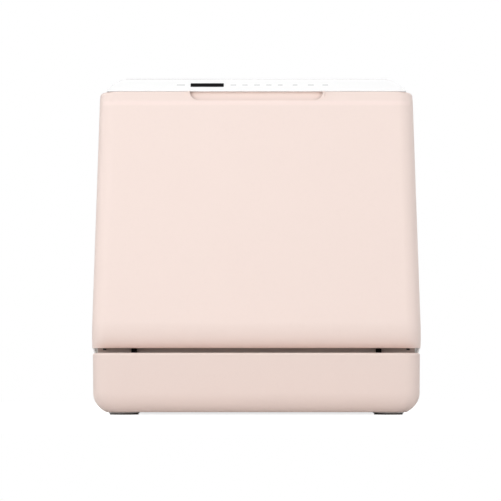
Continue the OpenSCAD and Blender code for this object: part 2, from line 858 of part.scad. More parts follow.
// Hollow of the strip, open below between the door's top and the wrapper
function fascia_hollow() = let (
    floor_z = fascia_nose_z + strip_wall,
    tip_y = nose_y + (strip_wall / cos(slope_a) + strip_wall - nose_h) / tan(slope_a),
    open_y = door_back_y - crown_r + 4,
    rear_y = fascia_back_y - strip_wall)
    [[tip_y, floor_z], [crest_y, body_h - strip_wall], [rear_y, body_h - strip_wall],
        [rear_y, body_h - rear_lip_h], [fascia_back_y + 1, body_h - rear_lip_h],
        [fascia_back_y + 1, fascia_low_z - 1], [open_y, fascia_low_z - 1], [open_y, floor_z]];

// Place of the display on the slope
display_drop = 11.8;
display_z = body_h - display_drop;
display_y = nose_y + (display_z - fascia_nose_z) / tan(slope_a) - 1.5;

module on_slope() {
    translate([-display_x, display_y, display_z + 1.3])
        rotate([slope_a, 0, 0])
            children();
}

module stadium(w, l, h) {
    translate([-w / 2 + l / 2, -l / 2, 0])
        cube([w - l, l, h]);
    for (x = [-1, 1])
        translate([x * (w - l) / 2, 0, 0])
            cylinder(h = h, r = l / 2);
}

// Plan of the control strip, its front corners rounded like the door's
function fascia_plan() = let (w = half_w(fascia_low_z) + 1, half = concat(
    arc(w - door_edge_r, nose_y + door_edge_r, door_edge_r, -90, 0), [[w, fascia_back_y + 1]]))
    concat(half, mirrored(half));

module control_fascia() {
    color("white")
        difference() {
            intersection() {
                along_y(front_y, fascia_back_y + 10)
                    polygon(body_outline());
                along_x(-width_high, width_high)
                    polygon(fascia_side());
                linear_extrude(body_h + 1)
                    polygon(fascia_plan());
            }
            along_x(-cheek_x, cheek_x)
                polygon(fascia_hollow());
            on_slope()
                translate([0, 0, -1.3])
                    stadium(display_w + 0.3, display_l + 0.3, 10);
        }
}

module display_window() {
    color("black")
        on_slope()
            translate([0, 0, -1.3 + 0.05])
                stadium(display_w, display_l, 1.2);
}

board_t = 1.6;
board_hw = cheek_x - 36;

module control_board() {
    color("seagreen")
        translate([0, display_y, display_z])
            rotate([slope_a, 0, 0])
                translate([0, 0, -8]) {
                    translate([-board_hw, -4, 0])
                        cube([2 * board_hw, 18, board_t]);
                    for (x = [-97, -29.5, -14.6, 0.9, 16.1, 30.7, 49.8, 70, 88.6])
                        translate([x, 0, board_t - eps])
                            cylinder(h = 2.4, r = 3.6, $fn = 24);
                    translate([-display_x - 19, -4, board_t - eps])
                        cube([38, 8, 2.6]);
                    for (x = [10 - board_hw, board_hw - 10])
                        translate([x, 5, board_t - eps])
                            cylinder(h = 3.4, r = 3, $fn = 24);
                }
}

// ---- Tank, neck and cap ----

tank_y0 = tub_back_y + tank_gap;
tank_z0 = tub_floor_z - 4;
tank_h = tub_top_z + tank_rise - tank_z0;
tank_half = tub_half + 14;
tank_t = 2;
cap_x = 100;
cap_y = tank_y0 + tank_depth / 2;
neck_wall = 2.5;

module water_tank() {
    tank_y1 = tank_y0 + tank_depth;
    color("aliceblue")
        difference() {
            along_y(tank_y0, tank_y1)
                polygon(rounded_box(-tank_half, tank_z0, tank_half, tank_z0 + tank_h, 16));
            along_y(tank_y0 + tank_t, tank_y1 - tank_t)
                polygon(rounded_box(-tank_half + tank_t, tank_z0 + tank_t, tank_half - tank_t,
                    tank_z0 + tank_h - tank_t, 16 - tank_t));
            translate([cap_x, cap_y, tank_z0 + tank_h - 10])
                cylinder(h = 20, r = neck_r - 6);
            translate([inlet_x, cap_y, tank_z0 - 5])
                cylinder(h = 15, r = 6);
        }
}

neck_top_z = body_h - 6;

module fill_neck() {
    z0 = tank_z0 + tank_h;
    color("white")
        translate([cap_x, cap_y, 0])
            difference() {
                union() {
                    translate([0, 0, z0])
                        cylinder(h = neck_top_z - z0, r = neck_r - 4);
                    translate([0, 0, neck_top_z - 3])
                        cylinder(h = 3, r = neck_r);
                    translate([0, 0, z0])
                        cylinder(h = 2.5, r = neck_r - 1);
                }
                translate([0, 0, z0 - 1])
                    cylinder(h = 60, r = neck_r - 4 - neck_wall);
            }
}

module fill_cap() {
    plug_r = neck_r - 4 - neck_wall - run_gap * 5;
    color("white")
        translate([cap_x, cap_y, 0])
            difference() {
                union() {
                    translate([0, 0, neck_top_z + 0.1])
                        cylinder(h = body_h - neck_top_z - 0.4, r = neck_r - 0.4);
                    translate([0, 0, neck_top_z - 10])
                        cylinder(h = 11, r = plug_r);
                }
                translate([0, 0, neck_top_z - 11])
                    cylinder(h = 10, r = plug_r - 2.5);
                for (x = [-1, 1])
                    translate([x * 13 - 5, -12, body_h - 3.4])
                        cube([10, 24, 6]);
            }
}

// ---- Spray system ----

arm_x = 0;
arm_y = flange_y + tub_depth / 2 - 5;
arm_z = tub_floor_z + 24;
upper_arm_z = tub_top_z - 24;
arm_t = 9;
hub_r = 17;

// Twin-blade arm with its hub, jets on top
module spray_arm_blank() {
    linear_extrude(arm_t)
        polygon(concat(
            arc(spray_reach - 9, 0, 9, -90, 90, 6),
            [[0, spray_w / 2]],
            arc(-spray_reach + 9, 0, 9, 90, 270, 6),
            [[0, -spray_w / 2]]));
    translate([0, 0, -4])
        cylinder(h = arm_t + 6, r = hub_r);
}

module arm_jets(z, up) {
    for (x = concat([for (d = [16:26:94]) d - spray_reach], [for (d = [24:26:102]) spray_reach - d]))
        translate([x, 0, z])
            rotate([up * (x > 0 ? -18 : 18), 0, 0])
                cylinder(h = 3.6, r = 3, $fn = 24, center = true);
}

module lower_spray_arm() {
    color("lightgray")
        translate([arm_x, arm_y, arm_z])
            difference() {
                union() {
                    spray_arm_blank();
                    arm_jets(arm_t, 1);
                }
                translate([0, 0, -10])
                    cylinder(h = arm_t + 11, r = post_r + post_gap);
            }
}

module upper_spray_arm() {
    color("lightgray")
        translate([arm_x, arm_y, upper_arm_z])
            difference() {
                union() {
                    translate([0, 0, -arm_t])
                        mirror([0, 0, 1])
                            translate([0, 0, -arm_t])
                                spray_arm_blank();
                    arm_jets(-arm_t, -1);
                }
                translate([0, 0, -arm_t - 1])
                    cylinder(h = arm_t + 11, r = post_r + post_gap);
            }
}

module spray_post() {
    color("gray")
        translate([arm_x, arm_y, 0]) {
            translate([0, 0, tub_floor_z - 24])
                cylinder(h = arm_z + arm_t - tub_floor_z + 24 - 2, r = post_r);
            translate([0, 0, tub_floor_z + 0.3])
                cylinder(h = arm_z - 4 - seat - tub_floor_z - 0.3, r = post_r + 5);
        }
}

feed_r = 6;
feed_x = 0;
feed_y = tub_back_y - tub_t - 9;
feed_bend = 14;

// Pipe up the tub's rear wall and along its ceiling to the upper arm
module spray_feed() {
    top_z = tub_top_z - 1 - feed_r;
    color("gray") {
        translate([feed_x, feed_y, tub_floor_z - 30])
            cylinder(h = top_z - feed_bend - tub_floor_z + 30, r = feed_r);
        translate([feed_x, feed_y - feed_bend, top_z - feed_bend])
            rotate([90, 0, 90])
                rotate_extrude(angle = 90)
                    translate([feed_bend, 0])
                        circle(r = feed_r);
        translate([feed_x, 0, top_z])
            rod_y(arm_y, feed_y - feed_bend, feed_r);
        translate([arm_x, arm_y, upper_arm_z - arm_t + 1])
            cylinder(h = top_z + feed_r - upper_arm_z + arm_t - 1, r = post_r);
        translate([arm_x, arm_y, upper_arm_z + 4 + seat])
            cylinder(h = top_z + feed_r - upper_arm_z - 4 - seat, r = post_r + 4);
    }
}

// ---- Sump, filter, heater, pumps ----

filter_y = arm_y;
filter_r = 30;
sump_z = 44;
pump_z = 52;

module sump() {
    top_z = tub_floor_z - tub_t - 0.1;
    color("dimgray")
        difference() {
            union() {
                translate([filter_x, filter_y, sump_z])
                    cylinder(h = top_z - sump_z, r = filter_r + 6);
                translate([filter_x, filter_y, top_z - 4])
                    cylinder(h = 4, r = filter_r + 14);
                translate([filter_x, filter_y - 12, sump_z])
                    cube([arm_x - filter_x + 14, 24, top_z - sump_z]);
                translate([arm_x, arm_y, top_z - 24])
                    cylinder(h = 24, r = post_r + 8);
                translate([arm_x - 8, arm_y, sump_z + 14])
                    cube([16, feed_y - arm_y + 10, 14]);
            }
            translate([filter_x, filter_y, sump_z + 3])
                cylinder(h = top_z, r = filter_r + 3);
            translate([arm_x, arm_y, top_z - 24.5])
                cylinder(h = 60, r = post_r + 0.1);
            translate([feed_x, feed_y, sump_z + 24])
                cylinder(h = 60, r = feed_r + 0.2);
        }
}

// Lift-out filter cup with slots all round
module sump_filter() {
    z0 = tub_floor_z - 42;
    color("gray")
        translate([filter_x, filter_y, 0])
            difference() {
                union() {
                    translate([0, 0, z0])
                        cylinder(h = tub_floor_z + 3 - z0, r = filter_r - 1);
                    translate([0, 0, tub_floor_z + 0.3])
                        cylinder(h = 3, r = filter_r + 6);
                }
                translate([0, 0, z0 + 2])
                    cylinder(h = 60, r = filter_r - 4);
                for (a = [0:20:340])
                    rotate([0, 0, a])
                        translate([filter_r - 8, -1.5, z0 + 6])
                            cube([16, 3, 26]);
            }
}

heater_r = 96;
heater_tube_r = 4.2;
heater_z = tub_floor_z + 8;
heater_ends = [68, 112];

module heater() {
    overlap = 1.5;
    sweep = 360 - (heater_ends[1] - heater_ends[0]) + 2 * overlap;
    color("silver")
        translate([arm_x, arm_y, 0]) {
            rotate([0, 0, heater_ends[1] - overlap])
                translate([0, 0, heater_z])
                    rotate_extrude(angle = sweep, $fn = 96)
                        translate([heater_r, 0])
                            circle(r = heater_tube_r, $fn = 24);
            for (a = heater_ends)
                translate([heater_r * cos(a), heater_r * sin(a), 0]) {
                    translate([0, 0, tub_floor_z - 22])
                        cylinder(h = heater_z - tub_floor_z + 22, r = heater_tube_r - 0.2);
                    translate([0, 0, tub_floor_z - tub_t - 5.1])
                        cylinder(h = 5, r = 9);
                }
        }
}

wash_x = arm_x + post_r + 8 + seat;
wash_w = 24;
wash_wall = 2.5;
motor_w = 76;

module pump_case(r, w, wall, bore) {
    difference() {
        rod_x(0, w, r);
        rod_x(wall, w - wall, r - wall);
        rod_x(w - wall - 1, w + 1, bore);
    }
}

module wash_pump() {
    color("slategray")
        translate([wash_x, arm_y, pump_z])
            pump_case(wash_r, wash_w, wash_wall, shaft_r + run_gap);
}

shaft_r = 3;

// Wheel with curved vanes on its shaft
module vane_wheel(r, w, vanes, shaft_len) {
    rod_x(0, 2, r);
    rod_x(0, w, shaft_r + 3);
    rod_x(0, shaft_len, shaft_r);
    for (i = [0:vanes - 1])
        rotate([i * 360 / vanes, 0, 0])
            rotate([0, 90, 0])
                translate([0, 0, 1])
                    linear_extrude(w - 1.5)
                        intersection() {
                            difference() {
                                translate([r * 0.55, 0])
                                    circle(r = r * 0.5);
                                translate([r * 0.55, 0])
                                    circle(r = r * 0.5 - 1.6);
                            }
                            translate([shaft_r + 1, 0])
                                square([r - shaft_r - 3, r]);
                            circle(r = r - 1);
                        }
}

module wash_impeller() {
    color("white")
        translate([wash_x + wash_wall + 3, arm_y, pump_z])
            vane_wheel(wash_r - wash_wall - 3, wash_w - 2 * wash_wall - 8, 6, wash_w + 12);
}

module wash_motor() {
    x0 = wash_x + wash_w + 0.1;
    r = wash_r - 6;
    color("darkgray")
        translate([x0, arm_y, pump_z])
            difference() {
                union() {
                    rod_x(0, motor_w, r);
                    for (a = [0:30:330])
                        rotate([a, 0, 0])
                            translate([6, -1.2, r - 1])
                                cube([motor_w - 12, 2.4, 3]);
                    translate([12, -r * 0.8, -pump_z + rib_top_z + seat])
                        cube([motor_w - 24, r * 1.6, pump_z - rib_top_z - seat - r * 0.5]);
                }
                rod_x(-1, 18, shaft_r + run_gap);
            }
}

drain_x = filter_x - filter_r - 6 - seat;
drain_w = 20;

module drain_pump() {
    color("slategray")
        translate([drain_x, arm_y, pump_z + 6])
            mirror([1, 0, 0]) {
                pump_case(drain_r, drain_w, 2.2, shaft_r + run_gap);
                difference() {
                    union() {
                        rod_x(drain_w - 0.5, drain_w + 32, drain_r - 5);
                        translate([drain_w + 4, -12, -pump_z - 6 + rib_top_z + seat])
                            cube([24, 24, pump_z + 6 - rib_top_z - seat - (drain_r - 5) * 0.7]);
                    }
                    rod_x(drain_w - 2.5, drain_w + 12, shaft_r + run_gap);
                }
            }
}

module drain_impeller() {
    color("white")
        translate([drain_x - 2.2 - 3, arm_y, pump_z + 6])
            mirror([1, 0, 0])
                vane_wheel(drain_r - 5.5, drain_w - 11, 4, drain_w + 4);
}

module drain_hose() {
    color("dimgray")
        translate([outlet_x, 0, inlet_z])
            difference() {
                rod_y(arm_y + filter_r + 6.4, back_y - 16, 8);
                rod_y(arm_y + filter_r, back_y - 10, 6);
            }
}

module drain_outlet() {
    color("dimgray")
        translate([outlet_x, 0, inlet_z])
            difference() {
                union() {
                    rod_y(back_y, body_d / 2, drain_port_r);
                    rod_y(back_y - 15.9, back_y + 1, drain_port_r - 0.6);
                    rod_y(back_y - back_t - 3.2, back_y - back_t - 0.1, drain_port_r + 5);
                }
                rod_y(back_y - 20, body_d / 2 + 1, drain_port_r - 2.5);
            }
}

module inlet_valve() {
    color("white")
        translate([inlet_x, 0, inlet_z])
            difference() {
                union() {
                    rod_y(back_y, body_d / 2, inlet_r);
                    rod_y(back_y - 12, back_y + 1, inlet_r - 0.6);
                    rod_y(back_y - back_t - 3.2, back_y - back_t - 0.1, inlet_r + 4);
                    translate([-15, back_y - 42, -16])
                        cube([30, 30.1, 32]);
                    translate([0, cap_y, 16])
                        cylinder(h = 8, r = 6);
                }
                rod_y(back_y - 8, body_d / 2 + 1, inlet_r - 3);
            }
}

module inlet_hose() {
    z0 = inlet_z + 24.1;
    color("dimgray")
        translate([inlet_x, cap_y, 0])
            difference() {
                translate([0, 0, z0])
                    cylinder(h = tank_z0 - 0.2 - z0, r = 8);
                translate([0, 0, z0 - 1])
                    cylinder(h = 40, r = 5);
            }
}

module power_inlet() {
    color("dimgray")
        difference() {
            union() {
                along_y(back_y - 24, back_y + 1)
                    polygon(rounded_box(power_x - 14, power_z - 10, power_x + 14, power_z + 10, 3));
                along_y(back_y + 0.05, back_y + 2.5)
                    polygon(rounded_box(power_x - 19, power_z - 14, power_x + 19, power_z + 14, 4));
            }
            along_y(back_y - 16, back_y + 4)
                polygon([[power_x - 11, power_z - 7], [power_x + 11, power_z - 7], [power_x + 11, power_z + 3],
                    [power_x + 7, power_z + 7], [power_x - 7, power_z + 7], [power_x - 11, power_z + 3]]);
        }
    color("silver")
        for (p = [[-6, -1], [0, 2], [6, -1]])
            translate([power_x + p[0] - 1, back_y - 16.5, power_z + p[1] - 2])
                cube([2, 12, 4]);
}

module_y = back_y - 112.5;

module power_module() {
    z0 = rib_top_z + seat;
    color("beige")
        difference() {
            translate([power_x - 70, module_y, z0])
                cube([100, 66, 30]);
            for (i = [0:5])
                translate([power_x - 60 + i * 14, module_y + 5, z0 + 26])
                    cube([6, 56, 6]);
        }
}

// ---- Drying fan ----

fan_y = arm_y + 54.4;
fan_z = tub_floor_z + 150;
fan_r = 44;
fan_w = 21;

module fan_housing() {
    x1 = -tub_half - tub_t - 0.2;
    color("whitesmoke")
        translate([x1 - fan_w, fan_y, fan_z])
            difference() {
                union() {
                    rod_x(0, fan_w, fan_r);
                    translate([0, -fan_r - 8, fan_r - 26])
                        cube([fan_w, fan_r + 8, 26]);
                }
                rod_x(2, fan_w - 2, fan_r - 2);
                rod_x(fan_w - 3, fan_w + 1, 16);
                translate([2, -fan_r - 9, fan_r - 24])
                    cube([fan_w - 4, fan_r + 8, 22]);
                rod_x(-1, 3, shaft_r + run_gap);
            }
}

module fan_impeller() {
    x1 = -tub_half - tub_t - 0.2;
    color("dimgray")
        translate([x1 - fan_w, fan_y, fan_z]) {
            rod_x(-2, fan_w - 8, shaft_r);
            rod_x(4, 6, fan_r - 5);
            rod_x(4, 12, 9);
            for (i = [0:13])
                rotate([i * 360 / 14, 0, 0])
                    translate([5, -1, fan_r - 18])
                        cube([10, 2, 11.5]);
        }
}

// ---- Door lock ----

lock_y = cabinet_y + 30;
lock_z = strike_z + 13;
hook_pin_r = 2;

module latch_body() {
    color("dimgray")
        difference() {
            translate([-12, frame_y + frame_t + 0.1, strike_z - 2])
                cube([24, 44, 19]);
            translate([-6, frame_y + frame_t - 1, strike_z - 8])
                cube([12, 42, 40]);
            translate([-strike_hw - 1, frame_y + frame_t - 1, strike_z - 3])
                cube([2 * strike_hw + 2, 20, 12]);
        }
    color("silver")
        translate([0, lock_y, lock_z])
            rod_x(-7, 7, hook_pin_r);
}

hook_lift = 4;

module latch_hook() {
    nose_y2 = liner_y + strike_reach - 7;
    color("silver")
        difference() {
            union() {
                along_x(-4, 4)
                    polygon([[lock_y, lock_z + 4], [nose_y2 - 4.5, lock_z + 3],
                        [nose_y2 - 4.5, strike_z + 2 + hook_lift], [nose_y2, strike_z + 2 + hook_lift],
                        [nose_y2 + 4, lock_z - 3], [lock_y, lock_z - 4]]);
                translate([0, lock_y, lock_z])
                    rod_x(-4, 4, 4.5);
            }
            translate([0, lock_y, lock_z])
                rod_x(-5, 5, hook_pin_r + run_gap);
        }
}

// ---- Rack ----

rack_x = tub_half - rack_side_gap;
rack_y0 = flange_y + rack_end_gap;
rack_y1 = tub_back_y - rack_end_gap;
rack_z = tub_floor_z + 66;
roller_z = rack_z + 24;
roller_w = 6;
axle_r = 2;
rail_x = tub_half - seat;
roller_x = rack_x + 8;
front_axle_y = (rack_y0 + rack_y1) / 2;
rear_axle_y = rack_y1 - 10;

module rack_rails() {
    y0 = flange_y + tub_t + 2;
    y1 = tub_back_y - tub_t - 20;
    floor_z = roller_z - roller_r - seat;
    color("gainsboro")
        both_sides()
            along_y(y0, y1)
                difference() {
                    translate([roller_x - 1.5, floor_z - 2.5])
                        square([rail_x - roller_x + 1.5, 2 * roller_r + 7]);
                    translate([roller_x - 2, floor_z])
                        square([rail_x - 2.2 - roller_x + 2, 2 * roller_r + 1.5]);
                }
}

wire_sides = 6;

module wire_x(x0, x1, y, z, r) {
    translate([0, y, z])
        rod_x(x0, x1, r, wire_sides);
}

module wire_y(y0, y1, x, z, r) {
    translate([x, 0, z])
        rod_y(y0, y1, r, wire_sides);
}

module wire_z(z0, z1, x, y, r) {
    translate([x, y, z0])
        cylinder(h = z1 - z0, r = r, $fn = wire_sides);
}

side_pitch = 30;
wall_x = rack_x - wire_r;
wall_y0 = rack_y0 + wire_r;
wall_y1 = rack_y1 - wire_r;
in_x = wall_x - wire_r - seam_fit;       // reach of wires that end at the side walls
in_y0 = wall_y0 + wire_r + seam_fit;
in_y1 = wall_y1 - wire_r - seam_fit;
low_wire_z = rack_z + wire_r;
high_wire_z = rack_z + rack_h;
rim_levels = [low_wire_z, rack_z + rack_h / 2, high_wire_z];
count_x = round(2 * wall_x / side_pitch);
count_y = round((wall_y1 - wall_y0) / side_pitch);
step_x = 2 * wall_x / count_x;
step_y = (wall_y1 - wall_y0) / count_y;
lane_w = 42;         // from one row of plate holders to the next
row_gap = 16;        // from the last row to the cutlery basket

// Four upright grids of wires, with the axles of the rollers on the side ones
module dish_rack() {
    color("whitesmoke") {
        for (y = [wall_y0, wall_y1]) {
            for (z = rim_levels)
                wire_x(-in_x, in_x, y, z, wire_r);
            for (i = [1:count_x - 1])
                wire_z(low_wire_z, high_wire_z, i * step_x - wall_x, y, tine_r);
        }
        both_sides() {
            for (z = rim_levels)
                wire_y(wall_y0, wall_y1, wall_x, z, wire_r);
            for (i = [0:count_y])
                wire_z(low_wire_z, high_wire_z, wall_x, wall_y0 + i * step_y, tine_r);
            for (y = [front_axle_y, rear_axle_y])
                translate([0, y, roller_z]) {
                    rod_x(rack_x - 2 * wire_r, roller_x + roller_w + 1, axle_r);
                    translate([rack_x - 2 * wire_r, -7, -roller_z + rack_z + wire_r])
                        cube([3, 14, roller_z - rack_z + 5]);
                }
        }
    }
}

module rack_floor() {
    color("whitesmoke") {
        for (i = [1:count_y - 1])
            wire_x(-in_x, in_x, wall_y0 + i * step_y, low_wire_z, tine_r);
        for (i = [1:count_x - 1])
            wire_y(in_y0, in_y1, i * step_x - wall_x, low_wire_z, tine_r);
    }
}

// One row of plate holders on a wire that lies across the floor's wires
module tine_row(x) {
    z0 = low_wire_z + 2 * tine_r + seam_fit;
    color("whitesmoke") {
        wire_y(in_y0, in_y1, x, z0, tine_r);
        for (y = [wall_y0 + 20:tine_pitch:wall_y1 - 14])
            wire_z(z0, low_wire_z + tine_h, x, y, tine_r);
    }
}

module tine_row_left() {
    tine_row(basket_x0 - row_gap - 2 * lane_w);
}

module tine_row_middle() {
    tine_row(basket_x0 - row_gap - lane_w);
}

module tine_row_right() {
    tine_row(basket_x0 - row_gap);
}

module roller_pair(y) {
    color("white")
        both_sides()
            translate([roller_x, y, roller_z])
                difference() {
                    rod_x(0, roller_w, roller_r);
                    rod_x(-1, roller_w + 1, axle_r + run_gap);
                    rod_x(roller_w - 1.5, roller_w + 1, roller_r - 2.5);
                }
}

module rack_rollers_front() {
    roller_pair(front_axle_y);
}

module rack_rollers_rear() {
    roller_pair(rear_axle_y);
}

basket_x0 = rack_x - 58;
basket_w = 52;
basket_y0 = rack_y0 + 8;
basket_l = 150;
basket_h = 92;
basket_wall = 2;
basket_z = rack_z + 2 * wire_r + seat;

// Floor, two slotted sides, and the ends and dividers that clip in between them
module cutlery_basket() {
    cells = 3;
    pitch = (basket_l - basket_wall) / cells;
    side_z = basket_z + basket_wall + seam_fit;
    side_h = basket_h - basket_wall - seam_fit;
    color("gainsboro") {
        translate([basket_x0, basket_y0, basket_z])
            cube([basket_w, basket_l, basket_wall]);
        for (i = [0:cells])
            translate([basket_x0 + basket_wall + seam_fit, basket_y0 + i * pitch, side_z])
                cube([basket_w - 2 * (basket_wall + seam_fit), basket_wall, side_h]);
        for (x = [basket_x0, basket_x0 + basket_w - basket_wall])
            difference() {
                translate([x, basket_y0, side_z])
                    cube([basket_wall, basket_l, side_h]);
                for (y = [basket_y0 + 7:9:basket_y0 + basket_l - 8], z = [basket_z + 10, basket_z + 48])
                    translate([x - 1, y, z])
                        cube([basket_wall + 2, 4, 30]);
            }
    }
}

float_x = 42 - tub_half;
float_y = flange_y + 30;

// Bell of the overflow switch, which lifts on its stem
module float_bell() {
    color("gray")
        translate([float_x, float_y, tub_floor_z + 0.3])
            difference() {
                rotate_extrude()
                    polygon([[0, 0], [13, 0], [13, 12], [10, 17], [5, 19], [0, 19]]);
                translate([0, 0, -1])
                    cylinder(h = 14, r = 10.5);
            }
}

outer_shell();
front_frame();
plinth_cover();
base_tray();
back_panel();
tub();
tub_floor();
door_gasket();
control_fascia();
display_window();
control_board();
water_tank();
fill_neck();
sump();
sump_filter();
wash_pump();
wash_motor();
drain_pump();
heater();
inlet_valve();
drain_outlet();
power_inlet();
inlet_hose();
drain_hose();
fan_housing();
power_module();
hinge_bracket_left();
hinge_bracket_right();
hinge_pins();
latch_body();
rack_rails();
spray_post();
spray_feed();
feet();
foot_pads();
case_screws();
door_outer();
door_liner();
hinge_arms();
door_strike();
detergent_cup();
door_bumpers();
detergent_lid();
dish_rack();
rack_floor();
tine_row_left();
tine_row_middle();
tine_row_right();
rack_rollers_front();
rack_rollers_rear();
cutlery_basket();
lower_spray_arm();
upper_spray_arm();
wash_impeller();
drain_impeller();
fan_impeller();
fill_cap();
latch_hook();
float_bell();
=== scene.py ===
import json
import math

import bmesh
import bpy
import numpy as np
from mathutils import Matrix, Vector


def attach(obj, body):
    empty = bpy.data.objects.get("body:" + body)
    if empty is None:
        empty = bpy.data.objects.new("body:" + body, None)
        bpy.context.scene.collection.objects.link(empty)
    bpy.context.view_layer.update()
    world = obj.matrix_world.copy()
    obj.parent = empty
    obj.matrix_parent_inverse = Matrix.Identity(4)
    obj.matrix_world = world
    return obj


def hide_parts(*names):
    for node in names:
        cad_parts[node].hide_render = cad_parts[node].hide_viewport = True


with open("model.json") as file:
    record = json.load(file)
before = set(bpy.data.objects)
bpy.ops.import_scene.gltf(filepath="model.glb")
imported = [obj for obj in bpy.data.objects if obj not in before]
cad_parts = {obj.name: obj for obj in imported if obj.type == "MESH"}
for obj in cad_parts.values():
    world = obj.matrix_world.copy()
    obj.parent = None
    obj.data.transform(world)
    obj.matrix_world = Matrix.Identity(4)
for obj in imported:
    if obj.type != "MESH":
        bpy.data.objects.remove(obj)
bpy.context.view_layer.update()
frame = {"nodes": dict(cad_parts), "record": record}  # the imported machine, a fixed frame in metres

nodes = frame["nodes"]
print("frame loaded:", len(nodes), "nodes")


class Wire:
    # One output socket; each operator adds a Math node and gives its output
    def __init__(self, graph, socket):
        self.graph = graph
        self.socket = socket

    def calc(self, operation, *values):
        return self.graph.node("ShaderNodeMath", {"operation": operation}, dict(enumerate(values)))

    def __add__(self, other):
        return self.calc("ADD", self, other)

    def __radd__(self, other):
        return self.calc("ADD", other, self)

    def __sub__(self, other):
        return self.calc("SUBTRACT", self, other)

    def __rsub__(self, other):
        return self.calc("SUBTRACT", other, self)

    def __mul__(self, other):
        return self.calc("MULTIPLY", self, other)

    def __rmul__(self, other):
        return self.calc("MULTIPLY", other, self)

    def __lt__(self, other):
        return self.calc("LESS_THAN", self, other)

    def __gt__(self, other):
        return self.calc("GREATER_THAN", self, other)

    def __abs__(self):
        return self.calc("ABSOLUTE", self)

    def most(self, other):
        return self.calc("MAXIMUM", self, other)

    def root(self):
        return self.calc("SQRT", self)


def linear(colour):
    # sRGB steps from 0 to 255 to linear values: the usual two-part curve
    steps = np.array(colour, float) / 255
    curve = np.where(steps <= 0.04045, steps / 12.92, ((steps + 0.055) / 1.055) ** 2.4)
    return (*curve.tolist(), 1.0)


class Graph:
    # The nodes of a material or of the world: add() makes every node, node() gives one of its outputs
    def __init__(self, tree):
        self.tree = tree
        tree.nodes.clear()

    def feed(self, socket, value):
        if isinstance(value, Wire):
            self.tree.links.new(value.socket, socket)
        else:
            socket.default_value = value

    def add(self, kind, settings=None, sockets=None):
        made = self.tree.nodes.new(kind)
        for key, value in (settings or {}).items():
            setattr(made, key, value)
        for key, value in (sockets or {}).items():
            self.feed(made.inputs[key], value)
        return made

    def node(self, kind, settings=None, sockets=None, output=0):
        return Wire(self, self.add(kind, settings, sockets).outputs[output])

    def place(self):
        return self.node("ShaderNodeTexCoord", output="Object")

    def stretched(self, scale, shift=(0, 0, 0)):
        return self.node("ShaderNodeMapping", {}, {"Vector": self.place(), "Scale": scale, "Location": shift})

    def noise(self, scale, detail=2.0, rough=0.5, vector=None):
        return self.node("ShaderNodeTexNoise", {}, {"Vector": vector or self.place(), "Scale": scale,
                                                    "Detail": detail, "Roughness": rough})

    def axes(self, vector=None):
        split = self.add("ShaderNodeSeparateXYZ", {}, {0: vector or self.place()})
        return [Wire(self, output) for output in split.outputs]

    def blend(self, factor, first, second):
        # Sockets 6 and 7 are the two colours of a Mix node, and 2 is the colour that it gives
        return self.node("ShaderNodeMix", {"data_type": "RGBA"}, {"Factor": factor, 6: first, 7: second}, 2)

    def smooth(self, value, low, high):
        # 0 below low, 1 above high, smoothstep between them; with the two swapped it falls
        return self.node("ShaderNodeMapRange", {"interpolation_type": "SMOOTHSTEP"},
                         {"Value": value, "From Min": low, "From Max": high})


class Finish(Graph):
    # One material with a Principled shader, whose sockets set() feeds
    def __init__(self, name, constants):
        self.material = bpy.data.materials.new(name)
        self.material.use_nodes = True
        super().__init__(self.material.node_tree)
        self.shader = self.add("ShaderNodeBsdfPrincipled")
        self.output = self.add("ShaderNodeOutputMaterial", {}, {0: Wire(self, self.shader.outputs[0])})
        self.set(**constants)

    def set(self, **values):
        for key, value in values.items():
            self.feed(self.shader.inputs[key.replace("_", " ")], value)

    def baseColour(self):
        # What feeds Base Color so far
        return Wire(self, self.shader.inputs["Base Color"].links[0].from_socket)

    def relief(self, height, distance, edge):
        # Bump over normals that are rounded at edges by "edge" metres
        rounded = self.node("ShaderNodeBevel", {"samples": 6}, {"Radius": edge})
        bump = self.node("ShaderNodeBump", {}, {"Height": height, "Distance": distance, "Normal": rounded})
        self.set(Normal=bump)


def darker(colour, share):
    return (*[c * share for c in colour[:3]], 1.0)


def lacquered(look):
    # A dielectric under a clear coat of the look's weight
    return {"IOR": look["ior"], "Coat_Weight": look["coat"], "Coat_Roughness": look["coatRough"]}


def around(noise, spread):
    # Noise runs from 0 to 1: it goes to both sides of 0 and is made "spread" wide
    return (noise - 0.5) * spread


# Each kind of finish keeps its usual settings beside it, and a finish below gives what differs
# Moulded plastic: spark-eroded grain, slow drift of tone, roughness that follows both
plasticLook = {
    "ior": 1.47, "coat": 0.0, "coatRough": 0.15, "edge": 0.0006, "driftScale": 9.0, "driftDark": 0.35,
    "driftRough": 0.06, "fleckShare": 0.21, "fleckFrom": (0.52, 0.78), "fleckDark": 0.82, "fleckHigh": 0.5,
}


def plastic(name, look):
    look = {**plasticLook, **look}
    colour = linear(look["colour"])
    made = Finish(name, lacquered(look))
    drift = made.noise(look["driftScale"], detail=3.0)
    grain = made.noise(look["grainScale"], detail=4.0, rough=0.65)
    fleck = made.noise(look["grainScale"] * look["fleckShare"])
    spots = made.smooth(fleck, *look["fleckFrom"]) * look["fleck"]
    tone = made.blend(drift * look["drift"], colour, darker(colour, 1 - look["drift"] * look["driftDark"]))
    made.set(Base_Color=made.blend(spots, tone, darker(colour, look["fleckDark"])))
    made.set(Roughness=look["rough"] + around(grain, look["roughSpread"]) + around(drift, look["driftRough"]))
    made.relief(grain + fleck * look["fleckHigh"], look["grainDepth"], look["edge"])
    return made


